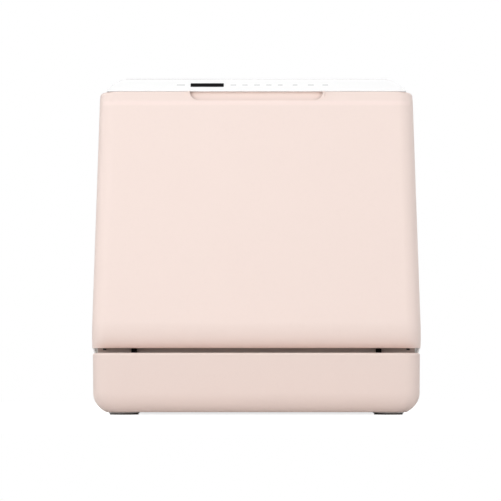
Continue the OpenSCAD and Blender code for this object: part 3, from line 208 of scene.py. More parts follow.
# Sheet steel: long scratches along one axis over a slow cloud
steelLook = {
    "edge": 0.0005, "wideShare": 0.13, "wideShift": (0.3, 0.1, 0.7), "fineTone": 0.55, "wideTone": 0.3,
    "scratchDark": 0.74, "wideHigh": 0.6, "cloudScale": 14.0, "cloudFrom": (0.55, 0.85), "cloudTone": 0.25,
    "cloudDark": 0.86, "cloudRough": 0.08,
}


def steel(name, look):
    look = {**steelLook, **look}
    colour = linear(look["colour"])
    made = Finish(name, {"Metallic": 1.0})
    lay = look["lay"]
    wideLay = tuple(scale * look["wideShare"] for scale in lay)
    fine = made.noise(1.0, detail=4.0, rough=0.7, vector=made.stretched(lay))
    wide = made.noise(1.0, vector=made.stretched(wideLay, look["wideShift"]))
    cloud = made.noise(look["cloudScale"], detail=3.0)
    scratches = fine * look["fineTone"] + wide * look["wideTone"]
    patches = made.smooth(cloud, *look["cloudFrom"]) * look["cloudTone"]
    tone = made.blend(scratches, colour, darker(colour, look["scratchDark"]))
    made.set(Base_Color=made.blend(patches, tone, darker(colour, look["cloudDark"])))
    made.set(Roughness=look["rough"] + around(fine, look["roughSpread"]) + around(cloud, look["cloudRough"]))
    made.relief(fine + wide * look["wideHigh"], look["depth"], look["edge"])
    return made


# Paint on sheet: orange peel, a slow drift of tone and fine specks
paintLook = {
    "ior": 1.5, "coat": 0.0, "coatRough": 0.08, "edge": 0.0006, "driftScale": 6.0, "driftTone": 0.5,
    "driftDark": 0.975, "driftRough": 0.05, "speckScale": 1900.0, "speckFrom": (0.66, 0.8), "speckTone": 0.2,
    "speckDark": 0.8, "peelRough": 0.1,
}


def paint(name, look):
    look = {**paintLook, **look}
    colour = linear(look["colour"])
    made = Finish(name, lacquered(look))
    peel = made.noise(look["peelScale"], rough=0.45)
    drift = made.noise(look["driftScale"], detail=3.0)
    speck = made.noise(look["speckScale"])
    specks = made.smooth(speck, *look["speckFrom"]) * look["speckTone"]
    tone = made.blend(drift * look["driftTone"], colour, darker(colour, look["driftDark"]))
    made.set(Base_Color=made.blend(specks, tone, darker(colour, look["speckDark"])))
    made.set(Roughness=look["rough"] + around(peel, look["peelRough"]) + around(drift, look["driftRough"]))
    made.relief(peel, look["peelDepth"], look["edge"])
    return made


# Rubber: matt, with a faint pale bloom and fine pits
rubberLook = {
    "ior": 1.5, "rough": 0.62, "edge": 0.0008, "bloomScale": 42.0, "bloomFrom": (0.4, 0.75), "bloomTone": 0.5,
    "bloomPale": 1.7, "bloomLift": 0.01, "bloomRough": 0.2, "pitScale": 1500.0, "pitRough": 0.12,
    "pitDepth": 0.00012,
}


def rubber(name, look):
    look = {**rubberLook, **look}
    colour = linear(look["colour"])
    pale = (*[min(1.0, c * look["bloomPale"] + look["bloomLift"]) for c in colour[:3]], 1.0)
    made = Finish(name, {"IOR": look["ior"]})
    bloom = made.noise(look["bloomScale"], detail=4.0, rough=0.6)
    pits = made.noise(look["pitScale"], detail=3.0, rough=0.6)
    made.set(Base_Color=made.blend(made.smooth(bloom, *look["bloomFrom"]) * look["bloomTone"], colour, pale))
    made.set(Roughness=look["rough"] + around(bloom, look["bloomRough"]) + around(pits, look["pitRough"]))
    made.relief(pits, look["pitDepth"], look["edge"])
    return made


pinkLook = {"colour": (247, 228, 220), "rough": 0.42, "roughSpread": 0.12, "grainScale": 1500.0,
            "grainDepth": 0.00003, "drift": 0.12, "fleck": 0.06, "edge": 0.0011}
finishes = {
    "pink_shell": plastic("pinkShell", pinkLook),
    "pink_plinth": plastic("pinkPlinthShaded", {**pinkLook, "colour": (241, 222, 214)}),  # a darker copy of the pink: painted shade, as the plinth gets less light under the door
    "pink_return": plastic("pinkReturnShaded", {
        **pinkLook, "colour": (190, 174, 166), "rough": 0.5, "edge": 0.0006}),  # a darker copy of the pink: painted shade of the gap under the door
    "white_shell": paint("whiteShell", {
        "colour": (246, 246, 244), "rough": 0.48, "ior": 1.4, "peelScale": 420.0, "peelDepth": 0.00006}),
    "white_fascia": plastic("whiteFascia", {
        "colour": (255, 255, 255), "rough": 0.2, "roughSpread": 0.05, "grainScale": 900.0,
        "grainDepth": 0.000012, "drift": 0.06, "fleck": 0.03, "coat": 0.5, "coatRough": 0.05}),
    "black_window": plastic("blackWindow", {
        "colour": (9, 9, 11), "rough": 0.3, "roughSpread": 0.05, "grainScale": 700.0,
        "grainDepth": 0.000004, "drift": 0.3, "fleck": 0.0, "ior": 1.015}),
    "inner_white": plastic("innerWhite", {
        "colour": (226, 228, 227), "rough": 0.46, "roughSpread": 0.14, "grainScale": 1300.0,
        "grainDepth": 0.00004, "drift": 0.16, "fleck": 0.08}),
    "tub_steel": steel("tubSteel", {
        "colour": (205, 206, 208), "rough": 0.3, "roughSpread": 0.16, "lay": (60.0, 60.0, 2600.0),
        "depth": 0.00002}),
    "seal_rubber": rubber("sealRubber", {"colour": (34, 34, 35)}),
    "foot_grey": plastic("footGrey", {
        "colour": (244, 240, 235), "rough": 0.5, "roughSpread": 0.15, "grainScale": 1200.0,
        "grainDepth": 0.00005, "drift": 0.2, "fleck": 0.12}),
    "tray_steel": steel("traySteel", {
        "colour": (178, 180, 182), "rough": 0.42, "roughSpread": 0.14, "lay": (900.0, 70.0, 900.0),
        "depth": 0.00003, "cloudScale": 60.0}),
    "bracket_black": paint("bracketBlack", {
        "colour": (10, 8, 7), "rough": 0.5, "ior": 1.1, "peelScale": 900.0, "peelDepth": 0.00005}),
    "bare_steel": steel("bareSteel", {
        "colour": (200, 200, 200), "rough": 0.26, "roughSpread": 0.12, "lay": (1400.0, 1400.0, 90.0),
        "depth": 0.000015, "edge": 0.0003}),
    "board_green": plastic("boardGreen", {
        "colour": (30, 96, 58), "rough": 0.35, "roughSpread": 0.1, "grainScale": 2200.0,
        "grainDepth": 0.00002, "drift": 0.3, "fleck": 0.3}),
    "tank_clear": plastic("tankClear", {
        "colour": (214, 224, 230), "rough": 0.33, "roughSpread": 0.12, "grainScale": 500.0,
        "grainDepth": 0.00008, "drift": 0.3, "fleck": 0.05}),
    "part_grey": plastic("partGrey", {
        "colour": (148, 151, 154), "rough": 0.44, "roughSpread": 0.14, "grainScale": 1300.0,
        "grainDepth": 0.00005, "drift": 0.22, "fleck": 0.12}),
    "pump_dark": plastic("pumpDark", {
        "colour": (66, 68, 71), "rough": 0.5, "roughSpread": 0.16, "grainScale": 1100.0,
        "grainDepth": 0.00006, "drift": 0.3, "fleck": 0.2}),
    "pump_white": plastic("pumpWhite", {
        "colour": (226, 225, 220), "rough": 0.42, "roughSpread": 0.12, "grainScale": 1200.0,
        "grainDepth": 0.00004, "drift": 0.2, "fleck": 0.08}),
    "motor_metal": steel("motorMetal", {
        "colour": (186, 188, 190), "rough": 0.45, "roughSpread": 0.2, "lay": (700.0, 700.0, 700.0),
        "depth": 0.00008}),
    "rack_coat": plastic("rackCoat", {
        "colour": (196, 198, 200), "rough": 0.34, "roughSpread": 0.1, "grainScale": 800.0,
        "grainDepth": 0.00005, "drift": 0.15, "fleck": 0.06, "coat": 0.3, "edge": 0.0004}),
}

# Printed touch marks: nine short bars in one row, each a place along x and half a width
keyMarks = {
    "z": 0.4229, "halfHigh": 0.00055, "soft": 0.0001, "tone": (150, 152, 156),
    "bars": ((-0.0970, 0.0052), (-0.0295, 0.0036), (-0.0146, 0.0034), (0.0009, 0.0036), (0.0161, 0.0034),
             (0.0307, 0.0030), (0.0498, 0.0030), (0.0700, 0.0038), (0.0886, 0.0036)),
}


def printKeys():
    # A bar is where the distance from its middle is under its half size, with a soft edge
    s = keyMarks
    made = finishes["white_fascia"]
    x, y, z = made.axes()
    bars = 0.0
    for place, half in s["bars"]:
        bars = made.smooth(abs(x - place), half + s["soft"], half - s["soft"]).most(bars)
    row = made.smooth(abs(z - s["z"]), s["halfHigh"] + s["soft"], s["halfHigh"] - s["soft"])
    made.set(Base_Color=made.blend(bars * row, made.baseColour(), linear(s["tone"])))


printKeys()
for part in frame["record"]["subparts"]:
    slots = nodes[part["node"]].data.materials
    slots.clear()
    slots.append(finishes[part["material_slot"]].material)
print("finishes:", len(finishes))


past = 0.001  # metres by which a cutter goes past the surface that it cuts


# A piece is an array of points with faces between its rows, in metres, where the machine has it
def newPiece(name, points, faces, finish=None):
    mesh = bpy.data.meshes.new(name)
    mesh.from_pydata(np.asarray(points, float).reshape(-1, 3).tolist(), [], faces)
    mesh.validate()
    piece = bpy.data.objects.new(name, mesh)
    bpy.context.scene.collection.objects.link(piece)
    if finish:
        mesh.materials.append(finishes[finish].material)
    return piece


def gridFaces(rows, columns, start=0, closed=False):
    # Quads between neighbouring rows of a grid of points; closed joins the last column to the first
    spans = columns if closed else columns - 1
    row, column = np.meshgrid(np.arange(rows - 1), np.arange(spans), indexing="ij")
    a = row * columns + column
    b = row * columns + (column + 1) % columns
    quads = np.stack([a, b, b + columns, a + columns], axis=-1) + start
    return quads.reshape(-1, 4).tolist()


def finished(piece, sharp=32.0):
    # Smooth normals between faces that meet at less than "sharp" degrees, flat faces kept flat
    piece.data.shade_smooth()
    piece.data.set_sharp_from_angle(angle=math.radians(sharp))
    weighted = piece.modifiers.new("evenNormals", "WEIGHTED_NORMAL")
    weighted.keep_sharp = True
    weighted.weight = 60


def outward(piece):
    # Merges doubles and turns every face of a closed surface outwards
    work = bmesh.new()
    work.from_mesh(piece.data)
    bmesh.ops.remove_doubles(work, verts=work.verts, dist=1e-6)
    bmesh.ops.recalc_face_normals(work, faces=work.faces)
    work.to_mesh(piece.data)
    work.free()


def softened(piece, width, segments=3):
    # Edges rounded by "width"
    bevel = piece.modifiers.new("softEdges", "BEVEL")
    bevel.width = width
    bevel.segments = segments
    bevel.limit_method = "ANGLE"
    bevel.harden_normals = True


def carved(piece, cutters=(), joins=(), keeps=()):
    # The piece cut down to the solids in "keeps", with those in "joins" added and "cutters" taken away
    for kind, solids in (("INTERSECT", keeps), ("UNION", joins), ("DIFFERENCE", cutters)):
        for solid in solids:
            cut = piece.modifiers.new("carve", "BOOLEAN")
            cut.operation = kind
            cut.object = solid
            cut.solver = "EXACT"
    ready = bpy.data.meshes.new_from_object(piece.evaluated_get(bpy.context.evaluated_depsgraph_get()))
    piece.modifiers.clear()
    old = piece.data
    piece.data = ready
    bpy.data.meshes.remove(old)
    for solid in (*cutters, *joins, *keeps):
        bpy.data.objects.remove(solid)
    return piece


def softCorner(low, high, corner, steps=8):
    # Outline of a rectangle whose corners are quarter circles: centre plus radius times (cos, sin)
    (x0, z0), (x1, z1) = low, high
    turn = np.radians(np.linspace(0, 90, steps + 1))
    quarter = np.stack([np.cos(turn), np.sin(turn)], axis=1) * corner
    right = quarter * [1, 1] + [x1 - corner, z1 - corner]
    left = quarter[::-1] * [-1, 1] + [x0 + corner, z1 - corner]
    leftLow = quarter * [-1, -1] + [x0 + corner, z0 + corner]
    rightLow = quarter[::-1] * [1, -1] + [x1 - corner, z0 + corner]
    return np.concatenate([right, left, leftLow, rightLow])


def roundedPath(points, bend, steps=6, closed=False):
    # A polyline with rounded corners: each is a quadratic curve from the point "bend" before the corner
    # to the point "bend" after it, pulled to the corner
    points = np.asarray(points, float)
    before = np.roll(points, 1, axis=0) - points
    after = np.roll(points, -1, axis=0) - points
    before /= np.linalg.norm(before, axis=1, keepdims=True)
    after /= np.linalg.norm(after, axis=1, keepdims=True)
    t = np.linspace(0, 1, steps + 1)[None, :, None]
    start, end = points + before * bend, points + after * bend
    arcs = (1 - t) ** 2 * start[:, None] + 2 * t * (1 - t) * points[:, None] + t ** 2 * end[:, None]
    if closed:
        return arcs.reshape(-1, points.shape[1])
    return np.concatenate([points[:1], arcs[1:-1].reshape(-1, points.shape[1]), points[-1:]])


def prism(name, outline, start, end, axis="Y"):
    # The outline carried straight from start to end along one axis, closed by its two ends: it is
    # (x, z) when it goes along Y, (y, z) along X and (x, y) along Z
    outline = np.asarray(outline, float)
    count = len(outline)
    along = "XYZ".index(axis)
    first, second = [i for i in range(3) if i != along]
    points = np.empty((2, count, 3))
    points[:, :, first] = outline[:, 0]
    points[:, :, second] = outline[:, 1]
    points[:, :, along] = np.array([[start], [end]])
    faces = gridFaces(2, count, closed=True) + [list(range(count))[::-1], list(range(count, 2 * count))]
    piece = newPiece(name, points, faces)
    outward(piece)
    return piece


def block(name, low, high):
    # A box as a prism along Y, between two opposite corners
    (x0, y0, z0), (x1, y1, z1) = low, high
    return prism(name, [(x0, z0), (x1, z0), (x1, z1), (x0, z1)], y0, y1)


def coated(piece, finish):
    piece.data.materials.append(finishes[finish].material)
    return piece


trayShape = {
    "frontY": -0.2175, "backY": -0.1725, "doorZ": 0.085, "seamZ": 0.079, "creaseZ": 0.396, "lipZ": 0.4112,
    "lipLean": 0.0085, "lowHalf": 0.210, "highHalf": 0.200, "wall": 0.003, "edge": 0.020,
    "bottomRound": 0.038, "bottomStart": 30.0, "creaseRound": 0.008, "heelRound": 0.008, "crownRound": 0.018,
    "crownSide": 0.0048, "cornerSteps": 20, "bottomSteps": 24, "creaseSteps": 10, "crownSteps": 14,
    # the recess for the fingers, the painted shade round its rim, and the painted highlight along the crease
    "gripHalf": 0.0845, "gripHigh": 0.0115, "gripDip": 0.003, "gripCorner": 0.011, "gripSteps": 14,
    "gripRun": 0.0085, "gripFlat": 0.003, "gripFront": -0.21246, "gripWall": 0.0025, "gripRise": 0.0002,
    "gripBend": 0.0014, "gripBendSteps": 8, "gripSide": 0.12, "gripOver": 0.03,
    "rimShade": 0.0055, "rimDeep": 0.42, "rimFloor": 0.10, "rimStart": -0.0003, "rimEnds": (0.004, 0.002),
    "rimY": 0.0004, "rimZ": (0.0002, 0.018), "paintedRimShade": (150, 128, 120),
    "highlightZ": 0.3959, "highlightBand": (0.0010, 0.0044), "highlightY": 0.002, "highlightTone": (252, 232, 225),
    # the slots for the hinge brackets, in the door and in the plinth
    "hingeX": 0.1564, "hingeY": -0.2005, "slotWide": 0.008, "doorSlotY": 0.008, "doorSlotZ": 0.125,
    "plinthSlotY": (0.014, 0.054), "plinthSlotZ": 0.010,
    # the plinth
    "plinthFrontY": -0.2155, "plinthBackY": -0.1698, "plinthLean": 0.012, "plinthHalf": 0.208,
    "plinthRound": 0.028, "plinthLowZ": 0.0285, "footZ": 0.0035, "plinthWall": 0.0025, "ledge": 0.003,
    "ledgeLeast": 0.0004, "ledgeSteps": 8,
    # the flange behind the gap under the door, and the sleeves round the hinge brackets
    "flangeY": (-0.1714, -0.1685), "flangeZ": (0.0738, 0.0895), "flangeHalf": 0.2035, "flangeCorner": 0.003,
    "flangeSoft": 0.0006, "sleeveHalf": 0.0035, "sleeveY": (-0.1834, -0.1737), "sleeveZ": (0.0742, 0.0847),
    "sleeveCorner": 0.0014, "sleeveSoft": 0.0004,
}


def halfWidth(z):
    # Half the width at height z: constant up to the seam, then tapering evenly to the crease
    s = trayShape
    slope = (s["lowHalf"] - s["highHalf"]) / (s["creaseZ"] - s["seamZ"])
    return s["lowHalf"] - np.maximum(0, z - s["seamZ"]) * slope


def doorBack(z):
    # Back edge of the side walls: straight, with a small quarter circle below and a larger one above
    s = trayShape
    low = s["backY"] - s["heelRound"] + np.sqrt(np.maximum(
        0, s["heelRound"] ** 2 - (s["doorZ"] + s["heelRound"] - z) ** 2))
    high = s["backY"] - s["crownRound"] + np.sqrt(np.maximum(
        0, s["crownRound"] ** 2 - (z - s["lipZ"] + s["crownRound"]) ** 2))
    return np.where(z < s["doorZ"] + s["heelRound"], low,
                    np.where(z > s["lipZ"] - s["crownRound"], high, s["backY"]))


def doorLevels(t):
    # Rows of height, front, back, half width and corner radius, t inside the outer skin: the bottom's
    # arc up to the flat front, a short arc at the crease, then the leaning lip that closes at the crown
    s = trayShape
    lean = math.atan(s["lipLean"] / (s["lipZ"] - s["creaseZ"]))
    low = np.radians(np.linspace(s["bottomStart"], 90, s["bottomSteps"] + 1))
    r = s["bottomRound"] - t
    z1 = s["doorZ"] + s["bottomRound"] * math.cos(low[0]) - r * np.cos(low)
    y1 = s["frontY"] + s["bottomRound"] - r * np.sin(low)
    mid = np.linspace(0, lean, s["creaseSteps"] + 1)
    r = s["creaseRound"] - t
    z2, y2 = s["creaseZ"] + r * np.sin(mid), s["frontY"] + s["creaseRound"] - r * np.cos(mid)
    top = np.radians(np.linspace(0, 90, s["crownSteps"] + 1)[1:])
    r = s["crownSide"] - t
    z3 = s["lipZ"] - s["crownSide"] + r * np.sin(top)
    y3 = y2[-1] + np.maximum(0, z3 - z2[-1]) * math.tan(lean)
    keep = z3 > z2[-1] + 1e-5  # only the levels above the crease's arc
    z3, y3, top = z3[keep], y3[keep], top[keep]
    z, yf = np.concatenate([z1, z2, z3]), np.concatenate([y1, y2, y3])
    drop = np.concatenate([np.zeros(len(z1) + len(z2)), r - r * np.cos(top)])
    yb = doorBack(z)
    corner = np.minimum(s["edge"] - t, yb - yf - 0.0002)  # a little less than the depth that is left
    return np.column_stack([z, yf, yb, halfWidth(z) - t - drop, corner])


def plinthLevels(t):
    # The same rows for the plinth: an arc under the front and sides, a flat face, a small top ledge
    s = trayShape
    r = s["plinthRound"] - t
    first = math.acos((s["plinthLowZ"] - s["footZ"] - t) / r)
    low = np.linspace(first, math.pi / 2, s["bottomSteps"])
    z1, y1 = s["plinthLowZ"] - r * np.cos(low), s["plinthFrontY"] + s["plinthRound"] - r * np.sin(low)
    w1 = s["plinthHalf"] - s["plinthRound"] + r * np.sin(low)
    e = s["ledge"] - min(t, s["ledge"] - s["ledgeLeast"])
    top = np.radians(np.linspace(0, 90, s["ledgeSteps"] + 1))
    z2, y2 = s["seamZ"] - t - e + e * np.sin(top), s["plinthFrontY"] + t + e - e * np.cos(top)
    w2 = s["plinthHalf"] - e + e * np.cos(top) - t
    z, yf, w = np.concatenate([z1, z2]), np.concatenate([y1, y2]), np.concatenate([w1, w2])
    yf = yf + s["plinthLean"] * (s["seamZ"] - z) / (s["seamZ"] - s["footZ"])
    return np.column_stack([z, yf, np.full(len(z), s["plinthBackY"]), w, np.full(len(z), s["edge"] - t)])


def trayPoints(levels):
    # Each level as a plan path: left back edge, two quarter circles joined across the front, right back edge
    turn = np.radians(np.linspace(180, 270, trayShape["cornerSteps"] + 1))
    z, yf, yb, w, r = (levels[:, i:i + 1] for i in range(5))
    leftX, leftY = -w + r + r * np.cos(turn), yf + r + r * np.sin(turn)
    x = np.hstack([-w, leftX, -leftX[:, ::-1], w])
    y = np.hstack([yb, leftY, leftY[:, ::-1], yb])
    return np.stack([x, y, np.broadcast_to(z, x.shape)], axis=-1)


def trayPiece(name, outer, inner, finish):
    # Outer and inner lofts joined along their side, low and high rims, with flat low and high caps
    skin, lining = trayPoints(outer), trayPoints(inner)
    rows, columns = skin.shape[:2]
    count = rows * columns
    faces = gridFaces(rows, columns) + [quad[::-1] for quad in gridFaces(rows, columns, count)]
    first = np.arange(rows - 1) * columns
    last = first + columns - 1
    faces += np.stack([first, first + columns, first + columns + count, first + count], axis=1).tolist()
    faces += np.stack([last + columns, last, last + count, last + columns + count], axis=1).tolist()
    top = count - columns
    faces += [[0, count, count + columns - 1, columns - 1]]
    faces += [[top, top + columns - 1, top + columns - 1 + count, top + count]]
    low = np.arange(columns)
    faces += [cap.tolist() for cap in (low[::-1], low + count, low + top, (low + top + count)[::-1])]
    piece = newPiece(name, np.concatenate([skin.reshape(-1, 3), lining.reshape(-1, 3)]), faces, finish)
    outward(piece)
    return piece


def gripSolid(name, t, topZ):
    # The recess grown by t, up to topZ: its side outline (front edge, flat for the fingertips, ramp)
    # carried along X and kept inside its front outline carried along Y
    s = trayShape
    lowZ = s["lipZ"] - s["gripHigh"] - s["gripDip"] - t
    lean = math.atan((s["gripHigh"] + s["gripDip"]) / (s["gripRun"] - s["gripFlat"]))
    frontY = s["gripFront"] - min(t, 0.002)  # stays behind the door's front
    footY = s["gripFront"] + s["gripFlat"] + t * math.tan(lean / 2)
    backY = s["gripFront"] + s["gripRun"] + t / math.sin(lean) + (topZ - s["lipZ"]) / math.tan(lean)
    corners = [(frontY, topZ), (frontY, lowZ), (footY, lowZ), (backY, topZ)]
    side = roundedPath(corners, s["gripBend"], s["gripBendSteps"])
    half, overZ = s["gripHalf"] + t, s["lipZ"] + s["gripOver"]
    outline = softCorner((-half, lowZ), (half, overZ), s["gripCorner"] + t, s["gripSteps"])
    front = prism(name + "Front", outline, frontY - 10 * past, backY + 10 * past)
    return carved(prism(name, side, -s["gripSide"], s["gripSide"], "X"), keeps=[front])


def paintDoorShadeAndHighlight():
    # Painted shade and highlight on the pink: the distance inside the recess's rounded outline, from |x| and
    # z, fades a darker tone
    #     # inwards as painted shade, strongest round the two ends. The crease gets a paler band as a painted
    #     highlight
    s = trayShape
    made = finishes["pink_shell"]
    x, y, z = made.axes()
    r = s["gripCorner"]
    across = (abs(x) - (s["gripHalf"] - r)).most(0.0)
    up = ((s["lipZ"] - s["gripHigh"] + r) - z).most(0.0)
    inside = r - (across * across + up * up).root()
    # painted shade: a darker tone inside the recess's rim, where the strip and the recess's walls shade it
    rim = (1 - made.smooth(inside, 0.0, s["rimShade"])) * (inside > s["rimStart"])
    begin, end = s["rimEnds"]
    atEnds = made.smooth(abs(x), s["gripHalf"] - r - begin, s["gripHalf"] - end)
    depth = atEnds * (s["rimDeep"] - s["rimFloor"]) + s["rimFloor"]
    over, under = s["rimZ"]
    behind = (y > s["gripFront"] + s["rimY"]) * (z < s["lipZ"] - over) * (z > s["lipZ"] - under)
    # painted highlight: a paler band along the front of the crease
    paintedHighlight = (1 - made.smooth(abs(z - s["highlightZ"]), *s["highlightBand"])) * (y < s["gripFront"] + s["highlightY"])
    base = made.blend(paintedHighlight, made.baseColour(), linear(s["highlightTone"]))
    made.set(Base_Color=made.blend(rim * behind * depth, base, linear(s["paintedRimShade"])))


def buildDoorSkin():
    s = trayShape
    paintDoorShadeAndHighlight()
    skin = trayPiece("doorSkin", doorLevels(0.0), doorLevels(s["wall"]), "pink_shell")
    well = gripSolid("gripWell", s["gripWall"], s["lipZ"] + s["gripRise"])
    hollow = gripSolid("gripHollow", 0.0, s["lipZ"] + 4 * past)
    low, high = (-s["gripHalf"], s["lipZ"] - s["gripHigh"]), (s["gripHalf"], s["lipZ"] + 20 * past)
    opening = softCorner(low, high, s["gripCorner"], s["gripSteps"])
    mouth = prism("gripMouth", opening, s["frontY"] - past, s["gripFront"] + past)
    half = s["slotWide"] / 2
    slots = [block("hingeSlot", (side * s["hingeX"] - half, s["hingeY"] + s["doorSlotY"], s["doorZ"] - past),
                   (side * s["hingeX"] + half, s["backY"] + past, s["doorSlotZ"])) for side in (-1, 1)]
    carved(skin, [hollow, mouth, *slots], [well])
    finished(skin)
    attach(skin, "door")
    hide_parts("door_outer")


def buildPlinthSkin():
    s = trayShape
    skin = trayPiece("plinthSkin", plinthLevels(0.0), plinthLevels(s["plinthWall"]), "pink_plinth")
    half = s["slotWide"] / 2
    (y0, y1), high = s["plinthSlotY"], s["plinthSlotZ"]
    slots = [block("bracketSlot", (side * s["hingeX"] - half, s["hingeY"] + y0, s["seamZ"] - high),
                   (side * s["hingeX"] + half, s["hingeY"] + y1, s["seamZ"] + high)) for side in (-1, 1)]
    carved(skin, slots)
    finished(skin)
    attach(skin, "cabinet")
    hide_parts("plinth_cover")


def buildGapPieces():
    # The flange that shuts the gap under the door, and a sleeve round each hinge bracket
    s = trayShape
    (z0, z1), half = s["flangeZ"], s["flangeHalf"]
    outline = softCorner((-half, z0), (half, z1), s["flangeCorner"], steps=5)
    flange = prism("gapFlange", outline, *s["flangeY"])
    # the flange takes a darker pink: painted shade of the gap under the door
    softened(coated(flange, "pink_return"), s["flangeSoft"])
    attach(flange, "cabinet")
    (y0, y1), half = s["sleeveY"], s["sleeveHalf"]
    for side, letter in ((-1, "L"), (1, "R")):
        x = side * s["hingeX"]
        outline = softCorner((x - half, y0), (x + half, y1), s["sleeveCorner"], steps=4)
        sleeve = prism("hingeSleeve" + letter, outline, *s["sleeveZ"], "Z")
        softened(coated(sleeve, "bracket_black"), s["sleeveSoft"])
        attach(sleeve, "cabinet")


topShape = {
    "high": 0.435, "lowZ": 0.393, "noseY": -0.2095, "noseZ": 0.4115, "noseHigh": 0.0015, "depth": 0.059,
    "crest": 0.028, "joint": -0.144, "backY": 0.2075, "seat": 0.0003, "wall": 0.0025, "stripWall": 0.003,
    "cheek": 0.186, "stripHalf": 0.201, "cornerRound": 0.020, "cornerSteps": 24, "noseSteps": 9,
    "crestSteps": 12, "underRound": 0.021, "underY": -0.1905, "underOpen": 0.004, "underSteps": 16,
    "rearLip": 0.010,
    # the wrapper's section, from its front edge to the back
    "frontY": -0.1695, "frontArch": (0.037, 0.075), "backArch": (0.028, 0.028), "archSteps": 22,
    "lengthSteps": 28, "lowRound": 0.028, "lowMiddle": 0.0285, "lowHalf": 0.208, "lowSteps": 12,
    "footZ": 0.0035, "gapHalf": 0.135, "sideZ": (0.079, 0.085, 0.19, 0.30), "taperZ": 0.08,
    # how far the solids that cut or keep reach
    "insideY": (-0.22, -0.14), "shouldersY": (-0.215, -0.140), "planZ": (0.38, 0.44),
    "bayHalf": 0.22, "bayY": -0.18, "bayZ": 0.45, "holeZ": (0.42, 0.45),
    # the filler cap's hole, and the display
    "capX": 0.100, "capY": 0.1766, "capHole": 0.0243, "capSteps": 96,
    "display": (-0.0631, -0.1829, 0.42292), "displayHalf": (0.0214, 0.0098), "displayRound": 0.0016,
    "displayDeep": 0.0012, "displayGap": 0.0001, "displaySoft": 0.00025,
}


def archHalf(t, share):
    # Half of the white body's front outline, t inside: the low corner's arc, the straight side that
    # tapers with halfWidth, and a quarter of an ellipse over the shoulder, from the front's wide one at
    # share 0 to the back's round one at share 1
    s = topShape
    wide, tall = (f + (b - f) * share for f, b in zip(s["frontArch"], s["backArch"]))
    r = s["lowRound"] - t
    low = np.linspace(-math.asin((s["lowMiddle"] - s["footZ"] - t) / r), 0, s["lowSteps"])
    x0, z0 = s["lowHalf"] - s["lowRound"] + r * np.cos(low), s["lowMiddle"] + r * np.sin(low)
    z1 = np.array(s["sideZ"])
    x1 = np.where(z1 < s["taperZ"], s["lowHalf"], halfWidth(z1)) - t
    turn = np.radians(np.linspace(0, 90, s["archSteps"] + 1))
    z2 = s["high"] - tall + (tall - t) * np.sin(turn)
    x2 = halfWidth(s["high"] - tall) - wide + (wide - t) * np.cos(turn)
    return np.column_stack([np.concatenate([[s["gapHalf"]], x0, x1, x2]),
                            np.concatenate([[s["footZ"] + t], z0, z1, z2])])


def mirroredOutline(half):
    # The right half, then its mirror image back to the start
    return np.concatenate([half, half[::-1] * [-1, 1]])


def slopeAngle():
    s = topShape
    return math.atan((s["high"] - s["noseZ"] - s["noseHigh"]) / s["depth"])


def stripSide():
    # Side view of the control strip: blunt nose, slope, crest arc, rear edge and the arc over the door
    s = topShape
    slope = slopeAngle()
    bead, crest, bend = s["noseHigh"] / 2, s["crest"], s["underRound"]
    nose = np.linspace(1.5 * math.pi, math.pi / 2 + slope, s["noseSteps"])
    over = np.linspace(math.pi / 2 + slope, math.pi / 2, s["crestSteps"])
    under = np.arcsin(np.linspace(0, (s["noseZ"] - s["lowZ"]) / bend, s["underSteps"]))
    crestY = s["noseY"] + s["depth"] + crest * math.tan(slope / 2)
    arcs = [(s["noseY"] + bead, s["noseZ"] + bead, bead, nose), (crestY, s["high"] - crest, crest, over),
            (s["underY"], s["lowZ"], bend, under)]
    front, top, low = [np.column_stack([y + r * np.cos(a), z + r * np.sin(a)]) for y, z, r, a in arcs]
    return np.concatenate([front, top, [[s["joint"], s["high"]], [s["joint"], s["lowZ"]]], low])


def stripHollow():
    # Side view of the hollow: parallel to the slope, open below behind the nose and at the joint
    s = topShape
    slope = slopeAngle()
    ceiling, floorZ = s["high"] - s["stripWall"], s["noseZ"] + s["stripWall"]
    tipY = s["noseY"] + (s["stripWall"] / math.cos(slope) + s["stripWall"] - s["noseHigh"]) / math.tan(slope)
    wallY, lipZ = s["joint"] - s["stripWall"], s["high"] - s["rearLip"]
    outY, outZ, openY = s["joint"] + past, s["lowZ"] - past, s["underY"] + s["underOpen"]
    return [[tipY, floorZ], [s["noseY"] + s["depth"], ceiling], [wallY, ceiling], [wallY, lipZ], [outY, lipZ],
            [outY, outZ], [openY, outZ], [openY, floorZ]]


def onSlope(piece):
    # Turns a flat piece by the slope's angle and puts it at the display's place; the mesh itself is turned
    turned = Matrix.Translation(topShape["display"]) @ Matrix.Rotation(slopeAngle(), 4, "X")
    piece.data.transform(turned)
    return piece


